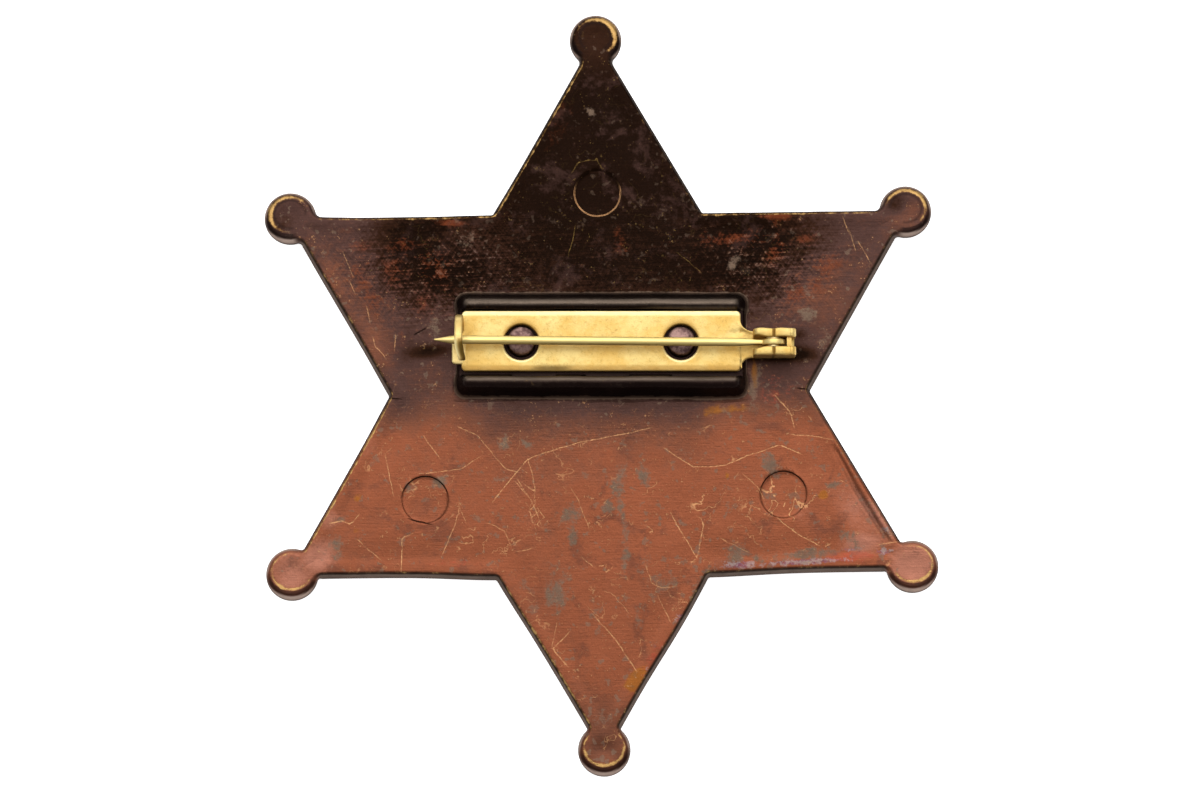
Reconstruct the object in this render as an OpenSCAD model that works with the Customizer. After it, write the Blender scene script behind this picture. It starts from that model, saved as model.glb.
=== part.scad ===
// Six-pointed star badge, lying face down, with a bar pin on its back.
// Z points up out of the badge's back, Y towards the top point of the star.
// The origin is under the star's centre, level with the fronts of the ball tips.

/* [Star] */
// Distance between the centres of two opposite ball tips
tip_centres = 71.1; // [60:0.1:90]
// How far each straight-sided point would run on past its ball's centre
point_overrun = 0.75; // [0.3:0.05:1.2]
// Thickness of the star at its rim
star_t = 2.4; // [1.6:0.1:2.8]
// Slope of the side wall, measured outwards from the back to the front
wall_draft = 0.25; // [0.1:0.05:0.4]
// Rounding of the worn edge round the back
back_edge_r = 0.3; // [0.1:0.05:0.5]
// Rounding of the edge round the front
front_edge_r = 0.35; // [0.1:0.05:0.6]
// Width of the plain raised rim on the front
rim_w = 1.5; // [1:0.1:2.5]
// Height of the raised rim above the front field
rim_h = 0.5; // [0.2:0.05:0.8]

/* [Ball tips] */
// Diameter of each ball tip
ball_d = 5.2; // [4:0.1:7]
// Rounding between a ball tip's flat back and its side
ball_edge_r = 0.7; // [0.4:0.05:1]

/* [Ejector marks] */
// Diameter of each round mark left by the mould
mark_d = 4.6; // [3:0.1:6]
// Depth of each mark
mark_depth = 0.12; // [0.05:0.01:0.3]
// Distance of the marks from the star's centre
mark_reach = 20.4; // [18.5:0.1:21.5]

/* [Clasp seat] */
// Sideways place of the clasp's middle
clasp_x = 0.2; // [-2:0.1:2]
// Height of the clasp's middle above the star's centre
clasp_y = 4.75; // [0:0.05:6]
// Turn of the whole clasp against the star, as cast
clasp_turn = -0.75; // [-2:0.25:2]
// Height of the channel's floor above the star's back
floor_h = 1.2; // [0.8:0.1:2]
// Height of the two rails above the star's back
rail_h = 2.4; // [2.2:0.1:3.4]
// Width of each rail at its foot
rail_foot = 2.14; // [1.8:0.02:3]
// Radius of each rail's rounded crest
rail_crest_r = 0.7; // [0.4:0.02:0.8]
// How far a rail's rounded end stands back from its foot
rail_end_draft = 1.2; // [0.4:0.1:1.6]
// Mean gap between the plate's long edges and the rails
plate_side_gap = 0.2; // [0.15:0.05:0.4]
// How far the plate lies from the channel's centre line, towards the upper rail
plate_shift = 0.15; // [0:0.05:0.15]
// How far the seat runs past each end of the plate
seat_past = 0.55; // [0.3:0.05:1.5]

/* [Posts] */
// Distance between the two posts that hold the plate
post_pitch = 15.85; // [12:0.05:19]
// Diameter of a post's domed top
post_top_d = 2.5; // [1.6:0.1:2.8]
// Height of a post's top above the plate
post_rise = 0.25; // [0.1:0.05:0.6]
// Gap round the foot of each post in its hole
post_gap = 0.1; // [0.05:0.05:0.2]

/* [Clasp plate] */
// Length of the plate
plate_l = 27.7; // [25:0.1:34]
// Width of the plate
plate_w = 6.05; // [5:0.05:8]
// Thickness of the plate
plate_t = 0.8; // [0.6:0.05:1]
// Radius of the plate's corners
plate_corner_r = 0.5; // [0.2:0.05:1]
// Diameter of the two post holes
hole_d = 3.5; // [3:0.1:4.5]

/* [Catch] */
// Height of the pin's axis above the plate
pin_rise = 1.65; // [1.4:0.05:2.2]
// Width of the catch's strip
catch_w = 0.8; // [0.6:0.05:1.2]
// Thickness of the catch's strip
catch_t = 0.6; // [0.4:0.05:0.7]
// How far the catch's strip stands over the plate's end
catch_lap = 0.25; // [0.1:0.05:0.3]
// Height of the catch's middle above the clasp's centre line
catch_y = 0.1; // [-0.2:0.05:0.2]
// Angle above level at which the catch's free end stops
catch_lip = 25; // [10:1:40]
// Reach of the catch's foot towards its mouth
foot_reach = 2.25; // [1.5:0.05:2.5]
// How far the catch's foot stands out past the plate's end
foot_out = 0.95; // [0.6:0.05:1.2]

/* [Hinge] */
// Distance from the plate's end to the hinge's axis
hinge_out = 3.2; // [3:0.05:5]
// Height of the hinge's middle above the clasp's centre line
hinge_y = -0.2; // [-0.3:0.05:0.3]
// Thickness of each ear
ear_t = 0.85; // [0.6:0.05:1]
// Gap between the two ears
ear_gap = 0.95; // [0.9:0.05:1.2]
// Reach of the ears from the hinge's axis towards the plate
ear_back = 2.0; // [1.7:0.05:2.4]
// Reach of the ears from the hinge's axis away from the plate
ear_front = 2.2; // [2.1:0.05:2.6]
// Height of the ears above the hinge's axis
ear_h = 1.15; // [1:0.05:1.4]
// Radius of the ears' upper corners
ear_corner_r = 0.9; // [0.3:0.05:1]
// Width of the relief in the ears where the pin comes out
relief_w = 1.36; // [1.3:0.02:1.5]
// Length of that relief
relief_l = 1.0; // [0.8:0.05:1.2]
// Radius of the hollow corners between plate and ears
neck_r = 1.1; // [0.8:0.05:1.2]
// Thickness of the stop between the ears
stop_t = 0.45; // [0.3:0.05:0.6]
// Height of the stop above the hinge's axis
stop_h = 0.6; // [0.3:0.05:0.7]
// Gap between the pin's eye and the stop
stop_gap = 0.1; // [0.05:0.01:0.2]

/* [Rivet and pin] */
// Diameter of the rivet
rivet_d = 1.3; // [1:0.05:1.4]
// Gap round the rivet in the ears
rivet_gap = 0.03; // [0.01:0.01:0.1]
// Diameter of the pin's wire
wire_d = 0.85; // [0.7:0.01:0.9]
// Diameter of the pin's flattened eye
eye_d = 2.4; // [2.2:0.05:2.7]
// Thickness of the pin's flattened eye
eye_t = 0.6; // [0.4:0.02:0.65]
// Gap round the rivet in the pin's eye
eye_gap = 0.06; // [0.03:0.01:0.1]
// Length of the flat neck between the eye and the round wire
neck_l = 0.4; // [0.3:0.05:0.8]
// Lean of the pin from the hinge towards the upper side of the catch
pin_lean = 0.5; // [0:0.1:0.8]
// Length of the pin past the middle of the catch
pin_past = 2.45; // [1.5:0.05:4]
// Length of the pin's tapered point
taper_l = 2.1; // [1:0.1:3]
// Diameter of the very end of the point
point_d = 0.12; // [0.08:0.01:0.2]

/* [Hidden] */
$fn = 64;
hull_fn = 32;
points = 6;
eps = 0.02;
// Direction of each ejector mark, and how much nearer or further it is than the others
marks = [[90, -0.4], [211, 0], [330, 0.5]];
// Angle through which the catch's strip laps into its foot
foot_angle = 12;

// Star
tip_reach = tip_centres / 2;
ball_r = ball_d / 2;
edge_reach = (tip_reach + point_overrun) / 2;
back_z = ball_r + ball_edge_r;
front_z = back_z - star_t;
back_inset = wall_draft + back_edge_r;

// Clasp seat
plate_z = back_z + floor_h;
plate_top = plate_z + plate_t;
channel_w = plate_w + 2 * plate_side_gap;
seat_l = plate_l + 2 * seat_past;
seat_w = channel_w + 2 * rail_foot;
rail_y = channel_w / 2 + rail_crest_r;
rail_z = rail_h - rail_crest_r;
rail_x = seat_l / 2 - rail_end_draft - rail_crest_r;

// Posts
post_foot_r = hole_d / 2 - post_gap;
post_top_r = min(post_top_d / 2, post_foot_r - eps);
dome_h = post_rise + plate_t / 4;

// Catch, hinge and pin, measured from the middle of the clasp
axis_z = plate_top + pin_rise;
catch_r = pin_rise + plate_t;
catch_x = -plate_l / 2 + catch_lap - catch_w / 2;
hinge_x = plate_l / 2 + hinge_out;
ears_w = ear_gap + 2 * ear_t;
ear_end = hinge_x + ear_front;
eye_r = eye_d / 2;
eye_bore_r = rivet_d / 2 + eye_gap;
point_reach = hinge_x - catch_x + pin_past;
flat_start = (eye_r + eye_bore_r) / 2;
wire_start = eye_r + neck_l;

// The twelve corners of a star whose straight edges lie at one distance from its centre
function star_ring(reach) =
    [for (i = [0 : 2 * points - 1])
        let (r = reach * (i % 2 == 0 ? 2 : 2 / sqrt(3)), a = 90 + i * 180 / points)
        [r * cos(a), r * sin(a)]];

// Solid through a stack of star rings, each with its inset from the edge and its height
module star_stack(rings) {
    n = 2 * points;
    last = len(rings) - 1;
    walls = [for (ring = rings) for (p = star_ring(edge_reach - ring[0])) [p[0], p[1], ring[1]]];
    hubs = [[0, 0, rings[0][1]], [0, 0, rings[last][1]]];
    low_hub = n * len(rings);
    sides = [for (k = [0 : last - 1]) for (i = [0 : n - 1])
        [k * n + i, (k + 1) * n + i, (k + 1) * n + (i + 1) % n, k * n + (i + 1) % n]];
    low = [for (i = [0 : n - 1]) [low_hub, i, (i + 1) % n]];
    high = [for (i = [0 : n - 1]) [low_hub + 1, last * n + (i + 1) % n, last * n + i]];
    polyhedron(concat(walls, hubs), concat(sides, low, high));
}

// Star plate with a sloping wall, a worn back edge and a plain raised rim in front
module star_plate() {
    difference() {
        star_stack([
            [front_edge_r, front_z],
            [front_edge_r * 0.3, front_z + front_edge_r * 0.3],
            [0, front_z + front_edge_r],
            [wall_draft, back_z - back_edge_r],
            [wall_draft + back_edge_r * 0.3, back_z - back_edge_r * 0.3],
            [back_inset, back_z]
        ]);
        translate([0, 0, front_z - 1]) linear_extrude(1 + rim_h) polygon(star_ring(edge_reach - rim_w));
    }
}

// Half outline of a ball tip: a flat back, a rounded edge and a domed front
module ball_outline() {
    flat_r = ball_r - ball_edge_r;
    translate([0, ball_r]) square([flat_r, ball_edge_r]);
    intersection() {
        translate([flat_r, ball_r]) circle(ball_edge_r);
        translate([0, ball_r]) square([ball_r, ball_edge_r]);
    }
    intersection() {
        translate([0, ball_r]) circle(ball_r);
        square([ball_r, ball_r]);
    }
}

// The six ball tips
module ball_tips() {
    for (i = [0 : points - 1])
        rotate([0, 0, 90 + i * 360 / points])
            translate([tip_reach, 0, 0])
                rotate_extrude() ball_outline();
}

// Round marks sunk into the back on every second point
module ejector_marks() {
    for (mark = marks)
        rotate([0, 0, mark[0]])
            translate([mark_reach + mark[1], 0, back_z - mark_depth])
                cylinder(d = mark_d, h = 1);
}

// Everything of the clasp stands round its middle, turned with the seat
module at_clasp() {
    translate([clasp_x, clasp_y, 0]) rotate([0, 0, clasp_turn]) children();
}

// Block with a sloping edge: its foot, its top and its height
module sloped_block(foot, top, h) {
    hull() {
        translate([-foot[0] / 2, -foot[1] / 2, -eps]) cube([foot[0], foot[1], eps]);
        translate([-top[0] / 2, -top[1] / 2, h - eps]) cube([top[0], top[1], eps]);
    }
}

// One rail with a rounded crest and rounded ends, standing on a straight foot
module rail() {
    hull() {
        for (s = [-1, 1])
            translate([s * rail_x, rail_y, rail_z]) sphere(rail_crest_r, $fn = hull_fn);
        translate([-seat_l / 2, channel_w / 2, -eps]) cube([seat_l, rail_foot, eps]);
    }
}

// Raised seat with an open channel between two rails
module clasp_seat() {
    sloped_block([seat_l, seat_w - rail_foot], [seat_l - seat_past, seat_w - rail_foot], floor_h);
    for (s = [0, 1])
        mirror([0, s, 0]) rail();
}

// Domed post that tapers up through its hole in the plate
module post() {
    straight = floor_h + plate_t + post_rise - dome_h;
    cylinder(h = straight, r1 = post_foot_r, r2 = post_top_r);
    translate([0, 0, straight]) intersection() {
        cap_r = (post_top_r * post_top_r + dome_h * dome_h) / (2 * dome_h);
        translate([0, 0, dome_h - cap_r]) sphere(cap_r);
        cylinder(h = dome_h, r = post_top_r);
    }
}

// The whole casting: star, ball tips, seat and posts in one piece of metal
module star_casting() {
    color("#6b3a2a") {
        difference() {
            union() {
                star_plate();
                ball_tips();
            }
            ejector_marks();
        }
        at_clasp() translate([0, 0, back_z]) {
            clasp_seat();
            for (s = [-1, 1])
                translate([s * post_pitch / 2, 0, 0]) post();
        }
    }
}

// Rectangle with round corners, centred
module round_rect(l, w, r) {
    for (s = [-1, 1]) for (t = [-1, 1])
        translate([s * (l / 2 - r), t * (w / 2 - r)]) circle(r);
    square([l - 2 * r, w], center = true);
    square([l, w - 2 * r], center = true);
}

// Outline of the flat plate with its neck, its hollow corners and its holes
module plate_outline() {
    difference() {
        union() {
            translate([0, plate_shift]) round_rect(plate_l, plate_w, plate_corner_r);
            translate([0, hinge_y - ears_w / 2]) square([ear_end, ears_w]);
            difference() {
                translate([plate_l / 2 - eps, hinge_y - ears_w / 2 - neck_r])
                    square([neck_r + eps, ears_w + 2 * neck_r]);
                for (s = [-1, 1])
                    translate([plate_l / 2 + neck_r, hinge_y + s * (ears_w / 2 + neck_r)]) circle(neck_r);
            }
        }
        for (s = [-1, 1])
            translate([s * post_pitch / 2, 0]) circle(d = hole_d);
    }
}

// Catch: a strip curled round the pin from its foot, open towards the lower side
module catch_hook() {
    translate([catch_lap - plate_l / 2, catch_y, axis_z])
        rotate([0, -90, 0])
            rotate([0, 0, catch_lip - 90])
                rotate_extrude(angle = 270 - catch_lip + foot_angle)
                    translate([catch_r - catch_t, 0]) square([catch_t, catch_w]);
    translate([-plate_l / 2 - foot_out, catch_y - foot_reach, plate_z])
        cube([foot_out + plate_corner_r, foot_reach + catch_t, plate_t]);
}

// Side view of one ear: a straight foot and round upper corners
module ear_side() {
    foot_z = plate_z - axis_z;
    translate([-ear_back, foot_z]) square([ear_back + ear_front, ear_h - ear_corner_r - foot_z]);
    translate([ear_corner_r - ear_back, 0]) square([ear_back + ear_front - 2 * ear_corner_r, ear_h]);
    for (x = [ear_corner_r - ear_back, ear_front - ear_corner_r])
        translate([x, ear_h - ear_corner_r]) circle(ear_corner_r);
}

// Two ears with the rivet's bore, a relief for the pin and the stop behind the eye
module hinge_ears() {
    translate([hinge_x, hinge_y, axis_z]) {
        difference() {
            for (s = [-1, 1])
                translate([0, s * (ear_gap + ear_t) / 2 + ear_t / 2, 0])
                    rotate([90, 0, 0]) linear_extrude(ear_t) ear_side();
            translate([-ear_back - 1, -relief_w / 2, -wire_d])
                cube([relief_l + 1, relief_w, wire_d + ear_h + 1]);
            rotate([90, 0, 0])
                cylinder(h = ears_w + 2, r = rivet_d / 2 + rivet_gap, center = true);
        }
        translate([eye_r + stop_gap, (ear_t - ears_w) / 2, plate_z - axis_z])
            cube([stop_t, ears_w - ear_t, axis_z - plate_z + stop_h]);
    }
}

// Brass plate with its catch, ears and stop, stamped from one sheet
module clasp_plate() {
    color("#e2c878")
        at_clasp() {
            translate([0, 0, plate_z]) linear_extrude(plate_t) plate_outline();
            catch_hook();
            hinge_ears();
        }
}

// Rivet through the ears and the pin's eye
module hinge_rivet() {
    color("#c9a85a")
        at_clasp() translate([hinge_x, hinge_y, axis_z])
            rotate([90, 0, 0])
                cylinder(h = ears_w, d = rivet_d, center = true);
}

// Round wire with a flat neck towards the eye and a sharp point at its far end
module wire_and_point() {
    rotate([0, 0, -pin_lean]) {
        translate([-wire_start - eps, -eye_t / 2, -wire_d / 2])
            cube([wire_start + eps - flat_start, eye_t, wire_d]);
        translate([-point_reach, 0, 0]) {
            translate([taper_l, 0, 0])
                rotate([0, 90, 0]) cylinder(h = point_reach - wire_start - taper_l, d = wire_d);
            rotate([0, 90, 0]) cylinder(h = taper_l, d1 = point_d, d2 = wire_d);
        }
    }
}

// Pin with a flattened eye at the hinge and a sharp point past the catch
module pin_wire() {
    color("#f0dc90")
        at_clasp() translate([hinge_x, hinge_y, axis_z])
            difference() {
                union() {
                    rotate([90, 0, 0]) cylinder(h = eye_t, r = eye_r, center = true);
                    wire_and_point();
                }
                rotate([90, 0, 0]) cylinder(h = 2 * wire_d, r = eye_bore_r, center = true);
            }
}

star_casting();
clasp_plate();
hinge_rivet();
pin_wire();
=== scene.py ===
"""Looks of a sheriff star badge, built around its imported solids.

The badge lies face down. Lengths inside the shape functions are in millimetres, and everything that
reaches Blender is in metres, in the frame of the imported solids.
"""

import math
from types import SimpleNamespace

import bmesh
import bpy
import numpy as np
from bpy.props import FloatProperty, FloatVectorProperty, PointerProperty
from mathutils import Euler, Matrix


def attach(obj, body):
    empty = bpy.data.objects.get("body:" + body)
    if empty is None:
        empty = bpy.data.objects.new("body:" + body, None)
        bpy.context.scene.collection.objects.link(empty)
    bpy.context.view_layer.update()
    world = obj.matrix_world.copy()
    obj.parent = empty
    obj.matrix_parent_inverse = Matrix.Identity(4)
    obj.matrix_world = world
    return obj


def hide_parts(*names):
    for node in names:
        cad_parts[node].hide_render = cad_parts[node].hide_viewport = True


bl_info = {
    "name": "Sheriff star badge",
    "version": (1, 0, 0),
    "blender": (4, 5, 0),
    "location": "3D View > Sidebar > Badge",
    "description": "Builds the star casting, its bar pin and the studio around the packed solids",
    "category": "Object",
}

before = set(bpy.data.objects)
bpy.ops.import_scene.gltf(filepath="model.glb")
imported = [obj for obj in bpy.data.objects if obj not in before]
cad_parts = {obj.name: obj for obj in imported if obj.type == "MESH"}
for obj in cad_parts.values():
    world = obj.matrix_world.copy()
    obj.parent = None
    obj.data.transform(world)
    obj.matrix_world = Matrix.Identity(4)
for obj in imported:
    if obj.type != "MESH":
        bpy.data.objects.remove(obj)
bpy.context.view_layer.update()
MM = 0.001
ARMS = 6
TURN = 2 * math.pi / ARMS


# Points of a mesh that lie nearer together than this, in metres, become one, and shorter edges go.
SEAM, SLIVER = 2e-7, 1e-8


# Small helpers for shapes

def smooth(low, high, x):
    """Rises from 0 at low to 1 at high along a soft S curve."""
    t = np.clip((x - low) / (high - low), 0.0, 1.0)
    return t * t * (3.0 - 2.0 * t)


def waves(x, y, length, seed, count=7):
    """Sum of a few sine waves of about one length in fixed directions, between about -1 and 1."""
    draw = np.random.default_rng(seed)
    angle = draw.uniform(0, 2 * math.pi, count)
    pace = 2 * math.pi / (length * draw.uniform(0.6, 1.7, count))
    shift = draw.uniform(0, 2 * math.pi, count)
    along = np.multiply.outer(x, np.cos(angle) * pace) + np.multiply.outer(y, np.sin(angle) * pace)
    return np.sin(along + shift).sum(-1) / count * 1.6


def turned(x, y, angle):
    """The points x, y turned by an angle about the origin."""
    c, s = math.cos(angle), math.sin(angle)
    return x * c - y * s, x * s + y * c


def soft_max(a, b, k):
    """The larger of two heights, rounded where they meet over a width of about k."""
    return 0.5 * (a + b + np.sqrt((a - b) ** 2 + k * k))


def arc(centre, radius, start, end, count):
    """Points on an arc from start to end, both in radians, with count steps."""
    a = np.linspace(start, end, count + 1)
    return np.stack([centre[0] + radius * np.cos(a), centre[1] + radius * np.sin(a)], -1)


def round_angles(count):
    """Angles of count points spread evenly round a circle, in radians."""
    return np.linspace(0, 2 * math.pi, count, endpoint=False)


def bell(x):
    """Falls from 1 at 0 to both sides, as e to the power of minus x squared."""
    return np.exp(-x ** 2)


def border(grid):
    """The points round a grid's border, as one closed ring."""
    return np.concatenate([grid[0, :-1], grid[:-1, -1], grid[-1, :0:-1], grid[:0:-1, 0]])


def quads(rows, cols, ring=False, flip=False):
    """Faces of a grid of rows by cols points; with ring, each row closes on itself."""
    r, c = np.meshgrid(np.arange(rows - 1), np.arange(cols if ring else cols - 1), indexing="ij")
    n = (c + 1) % cols
    faces = np.stack([r * cols + c, r * cols + n, (r + 1) * cols + n, (r + 1) * cols + c], -1)
    faces = faces.reshape(-1, 4)
    return faces[:, ::-1] if flip else faces


def store(mesh, name, values):
    """Keeps a value for each of a mesh's points, under a name that its material reads."""
    layer = mesh.attributes.new(name, "FLOAT", "POINT")
    layer.data.foreach_set("value", np.ascontiguousarray(values, dtype=np.float32))


class Shell:
    """Gathers grids of points into one piece: points in mm, faces, and named values at each point."""

    def __init__(self, *names):
        self.names = names
        self.points, self.faces, self.values, self.count = [], [], [], 0

    def grid(self, points, ring=False, flip=False, **values):
        """Adds a grid of shape rows, cols, 3, whose faces look along columns crossed with rows."""
        rows, cols = points.shape[:2]
        self.points.append(points.reshape(-1, 3))
        self.faces.append(quads(rows, cols, ring, flip) + self.count)
        given = [np.broadcast_to(values.get(name, 0.0), (rows, cols)).reshape(-1) for name in self.names]
        self.values.append(np.stack(given, -1) if given else np.zeros((rows * cols, 0)))
        self.count += rows * cols

    def turned(self, centre, angle, start=0):
        """Turns and then moves everything from part number start on, about the vertical."""
        for i in range(start, len(self.points)):
            x, y = turned(self.points[i][:, 0], self.points[i][:, 1], angle)
            self.points[i] = np.stack([x + centre[0], y + centre[1], self.points[i][:, 2]], -1)

    def piece(self, label, material, sharp=None):
        """Makes the mesh object, with seams and poles merged and smooth shading.

        Edges that bend by more than sharp degrees stay sharp.
        """
        mesh = bpy.data.meshes.new(label)
        points = np.concatenate(self.points) * MM
        mesh.from_pydata(points, [], np.concatenate(self.faces))
        values = np.concatenate(self.values)
        for name, column in zip(self.names, values.T):
            store(mesh, name, column)
        work = bmesh.new()
        work.from_mesh(mesh)
        bmesh.ops.remove_doubles(work, verts=work.verts, dist=SEAM)
        bmesh.ops.dissolve_degenerate(work, edges=work.edges, dist=SLIVER)
        work.to_mesh(mesh)
        work.free()
        mesh.validate()
        mesh.shade_smooth()
        if sharp:
            mesh.set_sharp_from_angle(angle=math.radians(sharp))
        mesh.materials.append(material)
        made = bpy.data.objects.new(label, mesh)
        bpy.context.scene.collection.objects.link(made)
        return made


# Where the star's finish has worn, darkened and stained, and where shadow and shade are painted on it,
# in mm from its centre. A patch is a soft oval: x, y, half length, half width, turn in degrees,
# strength. The strengths of the tones' table are added to the copper's lightness, and the other
# tables' are shares of a stain.

GRIME = (
    (1.9, -8.9, 1.9, 0.7, 85, 0.9), (4.3, -8.4, 1.0, 0.8, 100, 0.95), (3.5, -22.6, 1.3, 0.4, 100, 0.7),
    (16.7, -7.4, 1.5, 0.8, 110, 1.0), (16.8, -10.5, 1.4, 0.7, 90, 0.7), (23.4, -9.4, 1.1, 0.4, 20, 0.7),
    (24.4, -14.7, 1.1, 0.9, 0, 0.75), (20.0, -16.4, 7.0, 0.7, 4, 0.75), (13.4, -16.3, 1.0, 0.9, 0, 0.95),
    (10.0, -20.1, 2.4, 1.2, 75, 0.75), (9.4, -22.9, 1.7, 1.1, 60, 0.7), (-16.0, -8.7, 0.9, 0.7, 0, 1.0),
    (-19.0, -9.2, 0.6, 0.6, 0, 0.8), (-9.7, -5.0, 0.7, 0.7, 0, 0.95), (-7.4, -5.0, 0.8, 0.5, 120, 0.8),
    (-4.7, -4.0, 0.8, 0.5, 20, 0.7), (-3.1, -12.5, 1.3, 1.1, 40, 0.75), (-2.9, -14.7, 0.5, 0.5, 0, 0.95),
    (0.5, -11.5, 0.7, 0.6, 70, 0.85), (1.95, -11.3, 1.4, 0.45, 95, 0.8), (2.4, -14.0, 1.8, 0.4, 98, 0.85),
    (2.3, -16.9, 1.7, 0.45, 80, 0.85), (1.4, -9.4, 0.6, 1.0, 20, 0.8), (-5.3, -13.8, 1.0, 0.4, 120, 0.75),
    (-4.6, -19.9, 2.1, 1.4, 80, 0.8), (-26.4, -15.1, 1.4, 0.9, 80, 0.8), (-25.7, -12.3, 0.6, 0.4, 0, 0.7),
    (13.4, 12.7, 0.9, 0.5, 60, 0.85), (20.8, 7.6, 1.1, 0.8, 0, 1.0), (-13.2, 15.5, 1.3, 0.7, 25, 0.55),
    (-16.3, 6.9, 1.7, 0.9, 80, 0.6), (-0.5, 28.2, 0.4, 0.4, 0, 0.8), (15.4, 0.6, 2.6, 0.6, 85, 0.8),
    (22.4, 5.2, 1.6, 1.2, 0, 0.4), (6.0, -19.3, 1.8, 1.4, 0, 0.5),
)
OCHRE = (
    (3.5, -28.4, 1.6, 0.8, 45, 1.0), (5.4, -27.3, 0.9, 0.5, 20, 0.9), (22.0, -10.6, 0.5, 0.5, 0, 1.0),
    (12.5, -8.5, 0.35, 0.35, 0, 0.9), (-24.2, -10.3, 0.6, 0.5, 0, 0.8), (-24.4, -13.5, 0.9, 0.6, 0, 0.5),
    (12.2, -1.9, 2.2, 0.6, 10, 0.75), (15.4, 1.8, 2.2, 0.4, 92, 0.8), (7.5, -24.9, 1.6, 0.4, 60, 0.8),
)
RUST = (
    (-23.9, 14.9, 1.6, 0.7, 10, 0.6), (-24.0, 11.6, 1.2, 1.8, 0, 0.6), (-22.6, 9.4, 1.1, 2.8, 25, 0.55),
    (-20.7, 12.3, 1.4, 2.0, 20, 0.55), (-16.0, 12.5, 1.6, 2.0, 0, 0.5), (-14.8, 17.2, 1.7, 0.35, 0, 0.9),
    (-17.2, 8.8, 1.6, 1.2, 0, 0.5), (-19.6, 14.8, 1.8, 1.2, 30, 0.45), (-4.0, 27.4, 3.0, 1.5, 70, 0.45),
    (17.8, 17.4, 1.4, 0.45, 0, 1.0), (13.6, 15.3, 2.6, 0.7, 0, 0.7), (20.8, 15.1, 1.5, 0.7, 0, 0.6),
    (17.6, 13.9, 0.8, 1.7, -20, 0.6), (15.6, 15.4, 1.2, 1.0, 0, 0.35), (19.6, 9.7, 1.1, 1.1, 0, 0.85),
    (21.8, 10.4, 0.9, 0.9, 0, 0.65), (22.9, 12.3, 1.4, 2.2, -30, 0.55), (2.1, 15.5, 1.5, 0.8, 90, 0.5),
    (-20.5, 5.0, 2.5, 1.6, 60, 0.4),
)
HAZE = (
    (25.4, -12.3, 3.6, 1.9, 120, 0.62), (27.7, -13.0, 2.6, 0.35, -60, 0.9),
    (-30.8, -17.7, 2.6, 2.6, 0, 0.75), (-28.2, -16.1, 2.0, 1.6, 40, 0.9), (30.8, -17.6, 2.4, 2.4, 0, 1.0),
    (25.8, -15.4, 2.1, 1.2, 0, 0.9), (-26.9, -12.3, 1.5, 1.2, 0, 0.6), (-22.9, -5.3, 1.6, 1.5, 0, 0.4),
    (19.9, -12.3, 1.6, 1.4, 0, 0.4), (-12.3, 15.8, 1.5, 1.1, 0, 0.3), (-9.8, 12.5, 1.3, 1.2, 0, 0.25),
    (-15.7, 9.0, 1.6, 1.4, 0, 0.3),
)
VIOLET = (
    (27.9, -16.3, 0.9, 0.4, 0, 0.9), (20.0, -17.2, 4.5, 0.3, 3, 1.0), (28.2, -14.1, 0.4, 0.4, 0, 0.8),
    (7.8, -22.6, 0.6, 0.6, 60, 0.8), (4.4, -27.7, 0.9, 0.3, 80, 0.6), (13.7, -17.4, 1.8, 0.4, 2, 1.0),
    (24.6, -16.0, 1.5, 0.25, 0, 0.7), (8.8, 8.9, 0.5, 0.3, 0, 0.9), (6.0, 8.9, 0.6, 0.25, 0, 0.7),
)
BLUSH = (
    (24.7, -16.7, 2.8, 0.6, 3, 1.0), (4.9, -26.4, 2.0, 0.6, 60, 0.7), (-14.5, -16.9, 3.0, 0.4, 0, 0.5),
    (17.0, -0.5, 2.0, 2.0, 0, 0.5),
)
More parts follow.
